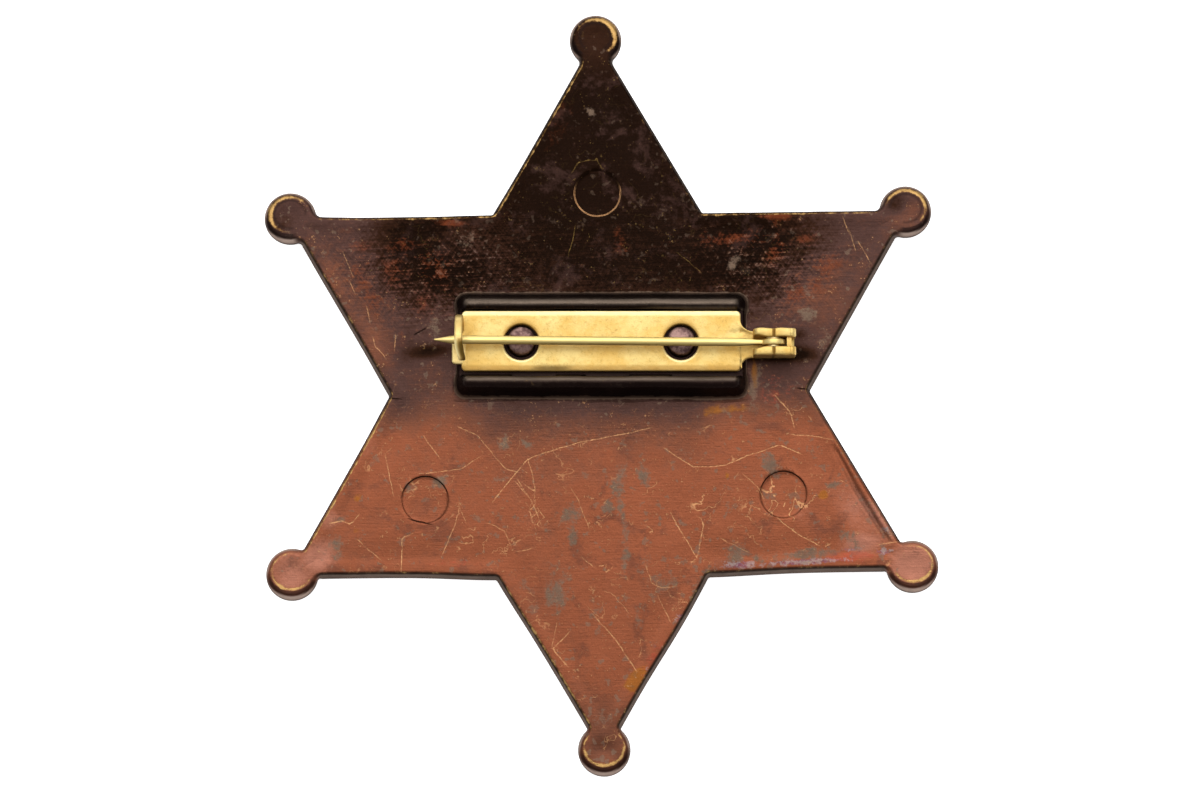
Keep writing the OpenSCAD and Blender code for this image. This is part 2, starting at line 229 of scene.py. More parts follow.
# Tones of the copper, among them painted shadows of the clasp and painted shade in the groove.
TONES_AND_SHADES = (
    (-19.5, 15.5, 2.5, 2.5, 0, -0.24), (-13.0, 15.5, 3.2, 2.0, 0, 0.16), (18.9, 12.2, 1.8, 1.4, 0, 0.16),
    (17.0, 15.8, 3.2, 2.6, 0, -0.11), (-22.9, 8.7, 2.6, 2.6, 0, 0.12), (20.5, 8.9, 3.6, 2.2, 0, 0.2),
    (-16.0, 8.7, 2.0, 1.5, 0, 0.14), (22.4, 12.0, 2.2, 2.0, 0, 0.1), (6.0, -19.3, 1.6, 1.6, 0, -0.12),
    (0.0, -33.5, 4.0, 3.0, 0, -0.2), (-16.0, -1.8, 2.6, 2.0, 0, 0.08), (18.0, 15.0, 2.0, 9.0, 0, -0.06),
    # Painted shadows: of the pin's point at -17.0, 4.3 and of the hinge at 19.6, 3.6.
    (-17.0, 4.3, 1.7, 0.55, 5, -0.5), (19.6, 3.6, 1.6, 0.65, -8, -0.5), (0.0, 35.5, 3.0, 3.0, 0, 0.2),
    (0.0, -36.5, 2.0, 2.0, 0, -0.1), (31.0, 17.8, 1.6, 1.6, 0, 0.14), (29.9, 18.6, 0.8, 0.8, 0, -0.4),
    (-22.3, 5.0, 2.6, 1.8, 65, 0.22), (-10.0, 12.5, 3.0, 2.0, 0, 0.1), (15.4, 12.3, 2.0, 2.0, 0, 0.08),
    # Painted shade in the groove beside the right edge: the row at 26.4, -11.9.
    (26.4, -11.9, 3.4, 0.3, -59, -0.5), (-31.6, 17.3, 0.9, 0.9, 0, -0.25),
    (-26.8, 12.2, 1.6, 1.6, 0, 0.12), (22.4, 15.6, 2.0, 1.5, 0, -0.1), (-19.4, 5.2, 1.5, 1.5, 0, -0.12),
    # Painted shadow below the lower ear: the row at 16.6, 3.5.
    (22.4, 8.7, 1.6, 1.5, 0, 0.05), (-19.4, -1.8, 1.8, 1.6, 0, -0.14), (16.6, 3.5, 3.0, 0.5, 0, -0.6),
    # Painted shadow beside the upper ear's end.
    (19.9, 5.5, 0.7, 0.5, 0, -0.3),
)
STREAKS = (
    (-15.0, 12.5, 8.0, 4.0, 0, 1.0), (15.5, 12.8, 6.0, 4.0, 0, 1.0), (1.0, 12.5, 12.0, 4.0, 0, 0.4),
    (0.0, -4.2, 10.0, 1.0, 0, 0.2),
)

# How strong each ball tip's brass ring is, partly wear and partly painted highlight, counted from
# the top one to the left: the side where it is strongest, in degrees from the right, its strength on
# the side across from it and there, and its half width.
BALL_WEAR_AND_HIGHLIGHT = ((35, 0.1, 1.0, 0.17), (150, 0.15, 0.95, 0.17), (240, 0.5, 0.85, 0.11), (270, 0.6, 0.95, 0.12),
             (290, 0.5, 0.95, 0.12), (70, 0.2, 1.0, 0.15))

# Scratches through the finish, as bent lines. Lines that lie close together are in different groups.
SCRATCHES = (
    (((-10.5, -10.5), (-8.9, -8.5), (-7.2, -6.5), (-1.8, -4.9), (3.0, -4.1), (4.7, -3.7)),
     ((7.0, -12.4), (9.4, -16.6), (10.3, -12.9), (9.9, -12.7)),
     ((6.7, -5.9), (9.2, -7.6), (12.3, -7.5), (14.7, -6.5), (17.8, -5.5), (19.6, -6.3)),
     ((-3.5, -24.0), (-5.0, -25.5), (-3.8, -26.9)), ((-0.7, -22.4), (1.3, -24.7), (3.1, -27.5)),
     ((-2.4, 22.4), (-2.0, 23.1), (-1.3, 23.3), (0.0, 23.4), (0.3, 22.8)),
     ((-19.9, -17.7), (-19.8, -14.3), (-19.0, -14.0)),
     ((-26.6, -12.7), (-25.7, -12.5), (-24.9, -12.9), (-24.3, -12.2)),
     ((17.5, -12.8), (19.1, -14.2), (21.4, -15.5)), ((17.6, -0.8), (18.9, -2.3), (19.2, -3.4))),
    (((-13.9, -3.4), (-12.2, -4.2), (-9.5, -7.5), (-8.5, -7.8)),
     ((-15.7, -15.7), (-14.5, -13.0), (-14.1, -11.2), (-13.6, -12.5)),
     ((4.4, -17.5), (4.9, -19.1), (5.9, -19.6), (6.9, -19.5)), ((14.5, -8.7), (15.5, -9.6), (16.0, -10.6)),
     ((-2.3, 16.4), (-2.5, 15.2), (-2.9, 14.0)), ((8.2, 13.7), (10.0, 12.1)),
     ((-5.0, -25.0), (-4.6, -23.2)),
     ((-8.3, -9.0), (-6.9, -10.8), (-6.0, -13.0)), ((-21.3, -6.4), (-20.7, -9.8)),
     ((-17.8, -7.9), (-13.9, -7.5), (-12.3, -6.5)), ((25.2, 15.7), (25.6, 14.2)),
     ((19.3, -4.5), (20.9, -4.6), (22.7, -5.0)), ((27.7, -15.5), (29.8, -15.2)),
     ((-24.7, 11.2), (-24.4, 10.5)), ((-23.1, 8.5), (-22.9, 7.7)), ((-22.5, 5.6), (-22.3, 4.9)),
     ((-22.0, 4.6), (-21.5, 3.9)), ((-20.3, 5.8), (-20.4, 4.9))),
    (((-7.1, -7.0), (-6.8, -8.3), (-6.5, -9.6), (-6.7, -10.8), (-6.1, -11.9), (-5.5, -12.7)),
     ((-8.1, -8.9), (-7.1, -10.5), (-6.9, -11.2)),
     ((-7.9, -11.0), (-6.9, -12.0), (-6.8, -12.9), (-6.0, -13.4)),
     ((-2.8, -9.9), (-2.2, -10.9), (-1.8, -12.2), (-1.3, -13.4)),
     ((-11.1, -13.0), (-9.6, -13.7), (-9.1, -14.9)),
     ((-8.1, -15.7), (-7.2, -15.5)), ((-1.8, -16.6), (-1.0, -17.2)), ((26.1, 14.5), (27.1, 12.8)),
     ((-25.3, 14.0), (-24.6, 12.2)), ((12.2, -14.9), (14.2, -16.0)), ((-17.4, -4.4), (-16.2, -6.1)),
     ((-24.0, -14.6), (-22.2, -16.2)), ((5.6, -20.6), (6.6, -22.6)), ((24.6, 17.0), (25.0, 15.9))),
)
CRACKS = (((-21.1, -0.3), (-20.2, -0.4)), ((21.1, 0.0), (19.9, 0.1)), ((-18.2, 6.1), (-17.5, 6.5)),
          ((-18.8, -12.5), (-17.2, -12.9)))

# The names under which the star keeps these tables for its material.
STAINS = {"grime": GRIME, "ochre": OCHRE, "rust": RUST, "haze": HAZE, "violet": VIOLET, "blush": BLUSH,
          "streak": STREAKS}
LINES = {"cut_a": SCRATCHES[0], "cut_b": SCRATCHES[1], "cut_c": SCRATCHES[2], "crack": CRACKS}

# Parts of the back's edge, as patches, where it is rubbed brighter than the rest.
BRIGHT_EDGES = ((-5.6, -28.5, 6.0, 3.0, -60, 1.0), (-24, -10, 5.0, 2.0, 60, 0.5))

# The side wall's finish in the rows of its profile, from the front edge up to the flat back: brass
# that is worn through; the wall painted near black as shade, on the sides that face up and on those
# that face down; the pale side of the ball tips, a painted reflection of the pale surroundings; and,
# where the star's wall faces down, a paler band of painted light with a painted shade line above it.
WALL_ROWS = {
    "brass": (0, 0, 0, 0, 0, 0, 0, 0, 0.1, 0.5, 0.9, 1, 0.6),
    "dark_above": (1, 1, 1, 1, 1, 1, 1, 1, 0.8, 0.4, 0.1, 0, 0),
    "dark_below": (1, 1, 1, 1, 1, 1, 1, 1, 1, 1, 0.9, 0.4, 0),
    "pale_ball": (0.1, 0.1, 0.1, 0.1, 0.1, 0.1, 0, 0.2, 0.75, 1, 1, 1, 1),
    "pale_below": (0, 0, 0, 0.12, 0.24, 0.26, 0.26, 0.2, 0.1, 0, 0, 0, 0),
    "line_below": (0, 0, 0, 0, 0, 0, 0, 0, 0.2, 0.6, 0.7, 0.3, 0),
}

# The shallow groove beside the right edge, as one bent line, with its depth and half width.
GROOVE, GROOVE_DEPTH, GROOVE_HALF = (((23.4, -6.0), (25.3, -10.0), (28.3, -15.0)),), 0.16, 0.3

# Where the casting is bowed out of true: x and y of the middle, reach, and how far it moves in x and y.
BOWS = (
    (-10.3, -18.4, 6.0, -0.05, -0.36), (10.2, -18.6, 6.5, 0.08, -0.34), (7.6, -24.0, 5.0, 0.2, -0.06),
    (-20.5, 0.0, 4.0, -0.14, 0.0), (-10.5, 17.0, 4.0, -0.1, 0.08), (-30.8, 17.8, 4.0, 0.0, 0.22),
)

# The whole is drawn in by this share, because the solids' round tips are cut into flats.
DRAWN_IN = 0.9997


def patches(x, y, rows, join=np.maximum):
    """Several soft ovals, each a bell curve that halves at the oval's edge: the strongest of them at
    each point or, with np.add, their sum."""
    best = np.zeros(np.shape(x))
    for cx, cy, long, wide, turn, much in rows:
        dx, dy = turned(x - cx, y - cy, -math.radians(turn))
        best = join(best, much * 0.5 ** ((dx / long) ** 2 + (dy / wide) ** 2))
    return best


def cut_values(x, y, lines):
    """Signed distance to the nearest of several bent lines, and a mask that is 1 beside them.

    The distance is measured square to the nearest segment, so its zero stays a thin line on a coarse
    grid. The mask ends at the line's ends and 1 mm from it.
    """
    best, across = np.full(np.shape(x), 9.0), np.zeros(np.shape(x))
    for line in lines:
        for (ax, ay), (bx, by) in zip(line[:-1], line[1:]):
            run = math.hypot(bx - ax, by - ay)
            dx, dy = (bx - ax) / run, (by - ay) / run
            along = np.clip((x - ax) * dx + (y - ay) * dy, 0, run)
            away = np.hypot(x - ax - along * dx, y - ay - along * dy)
            near = away < best
            best = np.where(near, away, best)
            across = np.where(near, (x - ax) * dy - (y - ay) * dx, across)
    past = np.sqrt(np.maximum(best ** 2 - across ** 2, 0))
    return np.clip(across, -1.5, 1.5), (1 - smooth(0.1, 0.5, past)) * (1 - smooth(0.8, 1.2, best))


def copper_tone(x, y):
    """How light the copper is: 0 nearly black over the top, 0.5 mauve, 1 copper brown below.

    It falls from copper below to mauve above and to black above the clasp, between the two upper side
    arms, partly as tarnish and partly as a painted reflection, light below and dark over the top. It is
    darker close below the clasp and at the lowest tip, and lighter on the lower right arm. The tones'
    table adds patches of tone, among them painted shadows of the clasp and painted shade in a groove.
    """
    side = np.abs(x + 0.5)
    # Partly tarnish, partly a painted reflection: copper brown below, falling to black over the top.
    tone = 0.52 + 0.48 * smooth(1.0, -6.0, y)
    tone = tone + 0.03 * smooth(19, 24, side) * smooth(2, 6, y) * smooth(16, 11, y)
    tone = tone * (1 - 0.98 * smooth(5.0, 12.5, y) * smooth(25, 14.5, side))
    tone = tone - 0.16 * smooth(15, 8, np.abs(x)) * smooth(-11, -3, y) * smooth(3, 0, y)
    tone = tone - 0.1 * smooth(-26, -33, y) + 0.1 * smooth(14, 20, x) * smooth(-2, -6, y)
    return tone + patches(x, y, TONES_AND_SHADES, np.add)


def finish_values(x, y):
    """Everything about the star's finish that goes by place alone, by name."""
    values = {"tone": copper_tone(x, y)}
    for name, rows in STAINS.items():
        values[name] = patches(x, y, rows)
    for name, lines in LINES.items():
        values[name], values[name + "_near"] = cut_values(x, y, lines)
    return values


def lay_values(mesh, maker):
    """Stores at a mesh's points the named values that a function of x and y in mm gives."""
    place = np.empty(len(mesh.vertices) * 3, dtype=np.float32)
    mesh.vertices.foreach_get("co", place)
    x, y, _ = place.reshape(-1, 3).T / MM
    for name, values in maker(x, y).items():
        store(mesh, name, values)


# Shapes of the star casting

# Steps round one arm's outline: in the notch, along the edge, at the neck and round the ball.
NOTCH_STEPS, EDGE_STEPS, NECK_STEPS, TIP_STEPS = 4, 44, 9, 26

# The side wall's profile has so many rows below the back's rounded edge, and so many steps on it.
LOW_ROWS, BACK_STEPS = 6, 6

# Points across an arm's back, and rows from the arms' feet to the clasp's seat.
CHORD_POINTS, WEB_ROWS = 77, 27

# On the front: the width of the step from the rim down to the field, and the run of the field's end.
RIM_STEP, FIELD_END = 0.2, 0.6


def back_level(s):
    """Height of the star's flat back above the floor."""
    return s.ball_d / 2 + s.ball_edge_r


def front_level(s):
    """Height of the star's front rim above the floor."""
    return back_level(s) - s.star_t


def edge_reach(s):
    """Distance of the star's straight edges from its centre: half the reach of the bare points."""
    return (s.tip_centres / 2 + s.point_overrun) / 2


def ball_places(s):
    """Centres of the ball tips, from the top one to the left."""
    turns = [math.pi / 2 + TURN * k for k in range(ARMS)]
    return [(s.tip_centres / 2 * math.cos(a), s.tip_centres / 2 * math.sin(a)) for a in turns]


def arm_outline(s):
    """Right half of one arm that points up, from the notch to the top of its ball tip.

    A hollow arc in the notch, the straight edge, a hollow arc at the neck and the ball's round,
    each meeting the next at a tangent. Gives points, outward directions and how much of the ball
    each point belongs to.
    """
    reach = edge_reach(s)
    ball = np.array([0.0, s.tip_centres / 2])
    out = np.array([math.cos(TURN / 2), math.sin(TURN / 2)])
    down = np.array([out[1], -out[0]])
    to_notch = np.array([0.5, math.sqrt(0.75)])
    notch = 2 * reach / math.sqrt(3) * to_notch
    hollow = notch + s.notch_r / math.sin(TURN) * to_notch
    side = reach + s.neck_r - ball @ out
    drop = math.sqrt((s.ball_d / 2 + s.neck_r) ** 2 - side ** 2)
    neck = ball + side * out + drop * down
    meet = TURN / 2 - math.atan2(drop, side)
    in_notch = arc(hollow, -s.notch_r, TURN, TURN / 2, NOTCH_STEPS)
    at_neck = arc(neck, -s.neck_r, TURN / 2, meet, NECK_STEPS)
    share = np.linspace(0, 1, EDGE_STEPS + 1)[1:-1, None]
    edge = in_notch[-1] + (at_neck[0] - in_notch[-1]) * share
    round_tip = arc(ball, s.ball_d / 2, meet, math.pi / 2, TIP_STEPS)[1:]
    points = np.concatenate([in_notch, edge, at_neck, round_tip])
    points[-1, 0] = 0.0
    angle = np.concatenate([np.linspace(TURN, TURN / 2, NOTCH_STEPS + 1), np.full(len(edge), TURN / 2),
                            np.linspace(TURN / 2, meet, NECK_STEPS + 1),
                            np.linspace(meet, math.pi / 2, TIP_STEPS + 1)[1:]])
    outward = np.stack([np.cos(angle), np.sin(angle)], -1)
    part = smooth(0.1, 1.0, (TURN / 2 - angle) / (TURN / 2 - meet))
    part[-len(round_tip):] = 1.0
    return points, outward, part


def rim_outline(s, row):
    """The half arm's outline at one row of the wall's profile, and how far it is drawn in there."""
    half, outward, part = arm_outline(s)
    star, ball = wall_profile(s)
    inset = star[row, 0] + (ball[row, 0] - star[row, 0]) * part
    rim = half - outward * inset[:, None]
    rim[-1, 0] = 0.0
    return rim, inset


def whole_ring(half, part):
    """Turns one half arm into the closed ring of all arms: mirrored, then turned six times."""
    mirror = half[:-1][::-1] * [-1, 1]
    arm = np.concatenate([half, mirror])[:-1]
    turns = [np.stack(turned(arm[:, 0], arm[:, 1], k * TURN), -1) for k in range(ARMS)]
    parts = np.concatenate([part, part[:-1][::-1]])[:-1]
    return np.concatenate(turns), np.tile(parts, ARMS)


def wall_profile(s):
    """Insets and heights from the front edge up the side wall and over the worn back edge.

    The star's wall slopes by its draft between two rounded edges. The ball's wall is a sphere up
    to its middle and a rounded edge above it. Both lists have the same number of rows.
    """
    front, radius = front_level(s), s.ball_d / 2
    bottom, top = front + s.front_edge_r, back_level(s) - s.back_edge_r
    rise = np.linspace(0, math.pi / 2, BACK_STEPS + 1)
    round_rows = LOW_ROWS // 2
    low = np.linspace(0, math.pi / 2, round_rows + 1)[:-1]
    star = [(s.front_edge_r * (1 - math.sin(a)), front + s.front_edge_r * (1 - math.cos(a))) for a in low]
    star += [(s.wall_draft * t, bottom + (top - bottom) * t) for t in (0.0, 0.33, 0.67)]
    star += [(s.wall_draft + s.back_edge_r * (1 - math.cos(a)), top + s.back_edge_r * math.sin(a))
             for a in rise]
    heights = [min(z, radius) for _, z in star[:LOW_ROWS]]
    ball = [(radius - math.sqrt(max(radius ** 2 - (radius - z) ** 2, 0)), z) for z in heights]
    ball += [(s.ball_edge_r * (1 - math.cos(a)), radius + s.ball_edge_r * math.sin(a)) for a in rise]
    return np.array(star), np.array(ball)


def edge_distance(s, x, y):
    """How far inside the outline a point lies, in mm.

    The star is two triangles laid over each other, each with three straight edges at the same distance
    from the centre. The larger of the distances inside either triangle or one of the balls counts.
    """
    best = np.full(np.shape(x), -1e9)
    for first in (math.pi / 2, math.pi / 2 + TURN):
        sides = [x * math.cos(first + 2 * TURN * k) + y * math.sin(first + 2 * TURN * k) for k in range(3)]
        best = np.maximum(best, edge_reach(s) - np.max(sides, 0))
    for cx, cy in ball_places(s):
        best = np.maximum(best, s.ball_d / 2 - np.hypot(x - cx, y - cy))
    return best


def mark_places(s):
    """Centres of the three round marks that the mould left, the upper one first."""
    polar = ((90, s.mark_reach - 0.4), (211, s.mark_reach), (330, s.mark_reach + 0.5))
    return [(r * math.cos(math.radians(a)), r * math.sin(math.radians(a))) for a, r in polar]


def gather(x, y, centre, radius, width, power=2.2):
    """Draws grid points towards a circle, so that a step there is crisp on a coarse grid.

    A point's distance from the circle, as a share of the width, is raised to a power.
    """
    dx, dy = x - centre[0], y - centre[1]
    r = np.maximum(np.hypot(dx, dy), 1e-9)
    off = np.clip((r - radius) / width, -1, 1)
    moved = np.where(np.abs(r - radius) < width, radius + np.sign(off) * np.abs(off) ** power * width, r)
    return centre[0] + dx * moved / r, centre[1] + dy * moved / r


def back_height(s, x, y, inset):
    """Height of the flat back.

    Slow and quick waves that die away at the edge, a low ring inside the rim, three sunk marks with a
    fine raised ring round each, the groove beside the right edge and a dent in the lowest ball.
    """
    inside = edge_distance(s, x, y) - inset
    calm = smooth(0.2, 3.0, inside)
    z = back_level(s) + calm * (0.035 * waves(x, y, 13.0, 3) + 0.012 * waves(x, y, 3.2, 4))
    z = z - 0.05 * smooth(0.3, 1.4, inside) * (1 - smooth(1.4, 4.0, inside))
    rim = s.mark_d / 2
    for cx, cy in mark_places(s):
        r = np.hypot(x - cx, y - cy)
        z = z - s.mark_depth * (1 - smooth(rim - 0.05, rim + 0.05, r)) + 0.03 * bell((r - rim - 0.12) / 0.1)
    across, near = cut_values(x, y, GROOVE)
    groove = GROOVE_DEPTH * near * bell(across / GROOVE_HALF)
    dent = 0.1 * np.exp(-(x ** 2 + (y + s.tip_centres / 2) ** 2) / 0.6)
    return z - (groove + dent) * smooth(0.05, 0.35, inside)


def casting_bow(points):
    """The casting's own bow, in mm: its notches stand out a little from the true star, each by a bell
    curve round its middle. The whole is drawn in by a hair, because the solids' round tips are cut
    into flats."""
    points = points * [DRAWN_IN, DRAWN_IN, 1.0]
    for x, y, reach, dx, dy in BOWS:
        share = bell(np.hypot(points[:, 0] - x, points[:, 1] - y) / reach)
        points = points + share[:, None] * np.array([dx, dy, 0.0])
    return points


def star_back(s, shell):
    """The flat back: chords across each arm up to the ball's top, and a web from the six arms' feet
    straight to a rectangle that lies hidden under the clasp's seat."""
    rim, inset = rim_outline(s, -1)
    across = np.linspace(1, -1, CHORD_POINTS)
    x0 = np.multiply.outer(rim[:, 0], across)
    y0 = np.repeat(rim[:, 1:], CHORD_POINTS, 1)
    feet = []
    for k in range(ARMS):
        x, y = turned(x0, y0, k * TURN)
        feet.append(np.stack([x[0], y[0]], -1)[:-1])
        back_patch(s, shell, x, y, inset[:, None], flip=True)
    outer = np.concatenate(feet)
    middle = np.array([s.clasp_x, s.clasp_y])
    away = outer - middle
    along, up = turned(away[:, 0], away[:, 1], -s.clasp_turn)
    fit = np.minimum((s.plate_l / 2) / np.abs(along), (s.plate_w / 2 + s.rail_foot) / np.abs(up))
    inner = middle + away * fit[:, None]
    web = outer + (inner - outer) * np.linspace(0, 1, WEB_ROWS)[:, None, None]
    last = back_patch(s, shell, web[..., 0], web[..., 1], inset[0], ring=True)[-1]
    low = np.column_stack([last[:, :2], np.full(len(last), last[:, 2].min() - 0.3)])
    shell.grid(np.stack([last, low, np.broadcast_to([*middle, low[0, 2]], low.shape)]), ring=True)


def back_patch(s, shell, x, y, inset, ring=False, flip=False):
    """One patch of the flat back with its heights and its wear. Gives its points."""
    for centre in mark_places(s):
        x, y = gather(x, y, centre, s.mark_d / 2, 0.9)
    points = np.stack([x, y, back_height(s, x, y, inset)], -1)
    brass, dark, pale = ball_wear_and_shading(s, x, y)
    near, lit = mark_values(s, x, y)
    # On the ball tips the seat value is painted shade, the wall and rim values the painted reflection on
    # the pale sides, and the marks' lit value paints highlight and shade.
    shell.grid(points, ring=ring, flip=flip, edge=brass, seat=dark, wall=pale, rim=pale,
               mark=near, mark_lit=lit)
    return points


def ball_wear_and_shading(s, x, y):
    """How much brass, dark and pale the ball tips show, by place.

    Each ball has a brass ring, an oval shifted a little upwards, that is wider and stronger to one
    side: partly worn brass, partly a painted highlight. Below the ring comes a band of painted shade,
    and the ball's side beyond it is painted pale as a reflection of the pale surroundings. The upper
    balls are dark inside their ring as well. Nothing shows towards the arm.
    """
    brass, dark, pale = (np.zeros(np.shape(x)) for _ in range(3))
    for (cx, cy), (side, least, most, half) in zip(ball_places(s), BALL_WEAR_AND_HIGHLIGHT):
        dx, dy = x - cx, y - cy
        r = np.maximum(np.hypot(dx, dy), 1e-6)
        share = 0.5 + 0.5 * (dx * math.cos(math.radians(side)) + dy * math.sin(math.radians(side))) / r
        to_arm = -(dx * cx + dy * cy) / r / math.hypot(cx, cy)
        clear = smooth(3.0, 2.7, r) * smooth(0.85, 0.6, to_arm)
        out = np.hypot(dx / 1.98, (dy - 0.3) / 1.8)
        down = smooth(0.3, -0.4, dy / r)
        much, wide = least + (most - least) * share, 0.07 + (half - 0.07) * share
        # The band below the ring is painted shade.
        band = 0.95 * down * smooth(1.05, 1.12, out) * smooth(1.44, 1.34, out)
        if cy > 0:
            band = band + 0.6 * bell((out - 0.8) / 0.08)
        # The ring: partly worn brass, partly painted highlight.
        brass = np.maximum(brass, clear * much * bell((out - 1) / wide))
        dark = np.maximum(dark, clear * band)
        # The pale side: a painted reflection of the pale surroundings.
        pale = np.maximum(pale, clear * smooth(1.1 + 0.2 * down, 1.22 + 0.2 * down, out))
    return brass, dark, pale


def mark_values(s, x, y):
    """Distance from the nearest mark's circle, and how that circle looks: a painted highlight below on the
    upper mark and a painted shade line above on the lower two."""
    near, lit = np.full(np.shape(x), 9.0), np.zeros(np.shape(x))
    for (cx, cy), upper in zip(mark_places(s), (True, False, False)):
        r = np.hypot(x - cx, y - cy)
        up = (y - cy) / np.maximum(r, 1e-6)
        look = 1 - 0.95 * smooth(-0.5, 0.7, up) if upper else -0.06 - 0.74 * smooth(-0.1, 0.8, up)
        here = np.abs(r - s.mark_d / 2) < np.abs(near)
        near = np.where(here, r - s.mark_d / 2, near)
        lit = np.where(here, look, lit)
    return np.clip(near, -1, 1), lit


def star_walls(s, shell):
    """The side wall: the wall profile carried round the outline, blended into the ball's at each tip.

    Its upper rows are a little uneven. Its finish, mostly painted shade and painted light, goes by row,
    as WALL_ROWS says, by the way that it faces and, on the balls, by place. Brass shows most where the
    wall faces the upper left.
    """
    half, outward, part = arm_outline(s)
    points, share = whole_ring(half, part)
    normals, _ = whole_ring(outward, part)
    star, ball = wall_profile(s)
    upper = np.arange(len(star))[:, None] >= LOW_ROWS
    rough = 0.02 * waves(points[:, 0], points[:, 1], 4.0, 11)
    middle = np.sin(np.linspace(0, math.pi, len(star)))[:, None] ** 2
    inset = star[:, :1] + (ball[:, :1] - star[:, :1]) * share + rough * (1 - share) * middle * upper
    height = star[:, 1:] + (ball[:, 1:] - star[:, 1:]) * share
    xy = points - normals * inset[..., None]
    facing = np.arctan2(normals[:, 1], normals[:, 0])
    bright = 0.34 + 0.36 * np.maximum(np.cos(facing - math.radians(135)), 0)
    bright = bright + 0.3 * patches(points[:, 0], points[:, 1], BRIGHT_EDGES)
    below = smooth(0.3, -0.5, normals[:, 1])
    row = SimpleNamespace(**{name: np.array(values)[:, None] for name, values in WALL_ROWS.items()})
    brass, dark, pale = ball_wear_and_shading(s, xy[..., 0], xy[..., 1])
    side = np.maximum(1 - upper, pale)
    grid = np.concatenate([xy, height[..., None]], -1)
    # The wall's dark and its shade line are painted shade, its pale band where it faces down is painted
    # light, the balls' pale sides a painted reflection; the brass is worn and, on the balls, partly painted
    # highlight.
    shell.grid(grid, ring=True, edge=row.brass * bright * (1 - share) + brass * upper * share,
               seat=dark * upper * share + row.line_below * below * (1 - share),
               wall=(row.dark_above * (1 - below) + row.dark_below * below) * (1 - share) + side * share,
               rim=row.pale_ball * side * share + row.pale_below * below * (1 - share))


def front_field(s, x, y):
    """How far the front is sunk at a place: 0 on the rim, 1 in the field, by the distance from the edge."""
    return smooth(s.rim_w, s.rim_w + RIM_STEP, edge_distance(s, x, y) + 0.02)


def star_front(s, shell):
    """The plain front: a raised rim round a sunk field on each arm, and the middle field.

    On an arm, columns run along the rim's step on both sides, and the field runs out softly where
    they meet near the tip. In the middle, rows run in from the arms' feet along the same distances
    from the edge and then meet at the centre.
    """
    rim, _ = rim_outline(s, 0)
    front, slope = front_level(s), 2 / math.sqrt(3)
    w = rim[:, :1]
    steps = [w] + [w - d * slope for d in (s.rim_w - 0.3, s.rim_w, s.rim_w + 0.25)] + [w * 0.0]
    depth = s.rim_h * smooth(0.0, FIELD_END, steps[3])
    right = np.concatenate([np.clip(v, 0, w) for v in steps], 1)
    x0 = np.concatenate([right, -right[:, :-1][:, ::-1]], 1)
    y0 = np.repeat(rim[:, 1:], x0.shape[1], 1)
    outer = []
    for k in range(ARMS):
        x, y = turned(x0, y0, k * TURN)
        z = np.where(np.abs(x0) >= w - 1e-9, front, front + depth * front_field(s, x, y))
        shell.grid(np.stack([x, y, z], -1), front=1.0)
        outer.append(np.stack([x[0], y[0], z[0]], -1)[:-1])
    ring = np.concatenate(outer)
    past = np.maximum(edge_distance(s, ring[:, 0], ring[:, 1]), 0)
    level = np.array([0.0, s.rim_w - 0.3, s.rim_w, s.rim_w + RIM_STEP, s.rim_w + 0.5])[:, None]
    least = 0.002 * np.arange(len(level))[:, None]
    t = np.maximum((level - past) / (edge_reach(s) - past), least) * (level > 0)
    t = np.concatenate([t, np.ones((1, len(past)))])[..., None]
    web = ring * (1 - t)
    web[1:, :, 2] = front + s.rim_h * front_field(s, web[1:, :, 0], web[1:, :, 1])
    shell.grid(web, ring=True, flip=True, front=1.0)


def ball_fronts(s, shell):
    """The domed fronts of the six balls: the lower part of a sphere, closed a hair inside the star."""
    radius, hair = s.ball_d / 2, 0.008
    top = hair - math.asin((radius - front_level(s)) / radius)
    a, b = np.linspace(-math.pi / 2, top, 12)[:, None], round_angles(48)
    for cx, cy in ball_places(s):
        x, y = cx + radius * np.cos(a) * np.cos(b), cy + radius * np.cos(a) * np.sin(b)
        dome = np.stack(np.broadcast_arrays(x, y, radius + radius * np.sin(a)), -1)
        lid = np.stack([dome[-1], np.broadcast_to([cx, cy, dome[-1, 0, 2]], dome[-1].shape)])
        shell.grid(dome, ring=True, front=1.0)
        shell.grid(lid, ring=True, front=1.0)


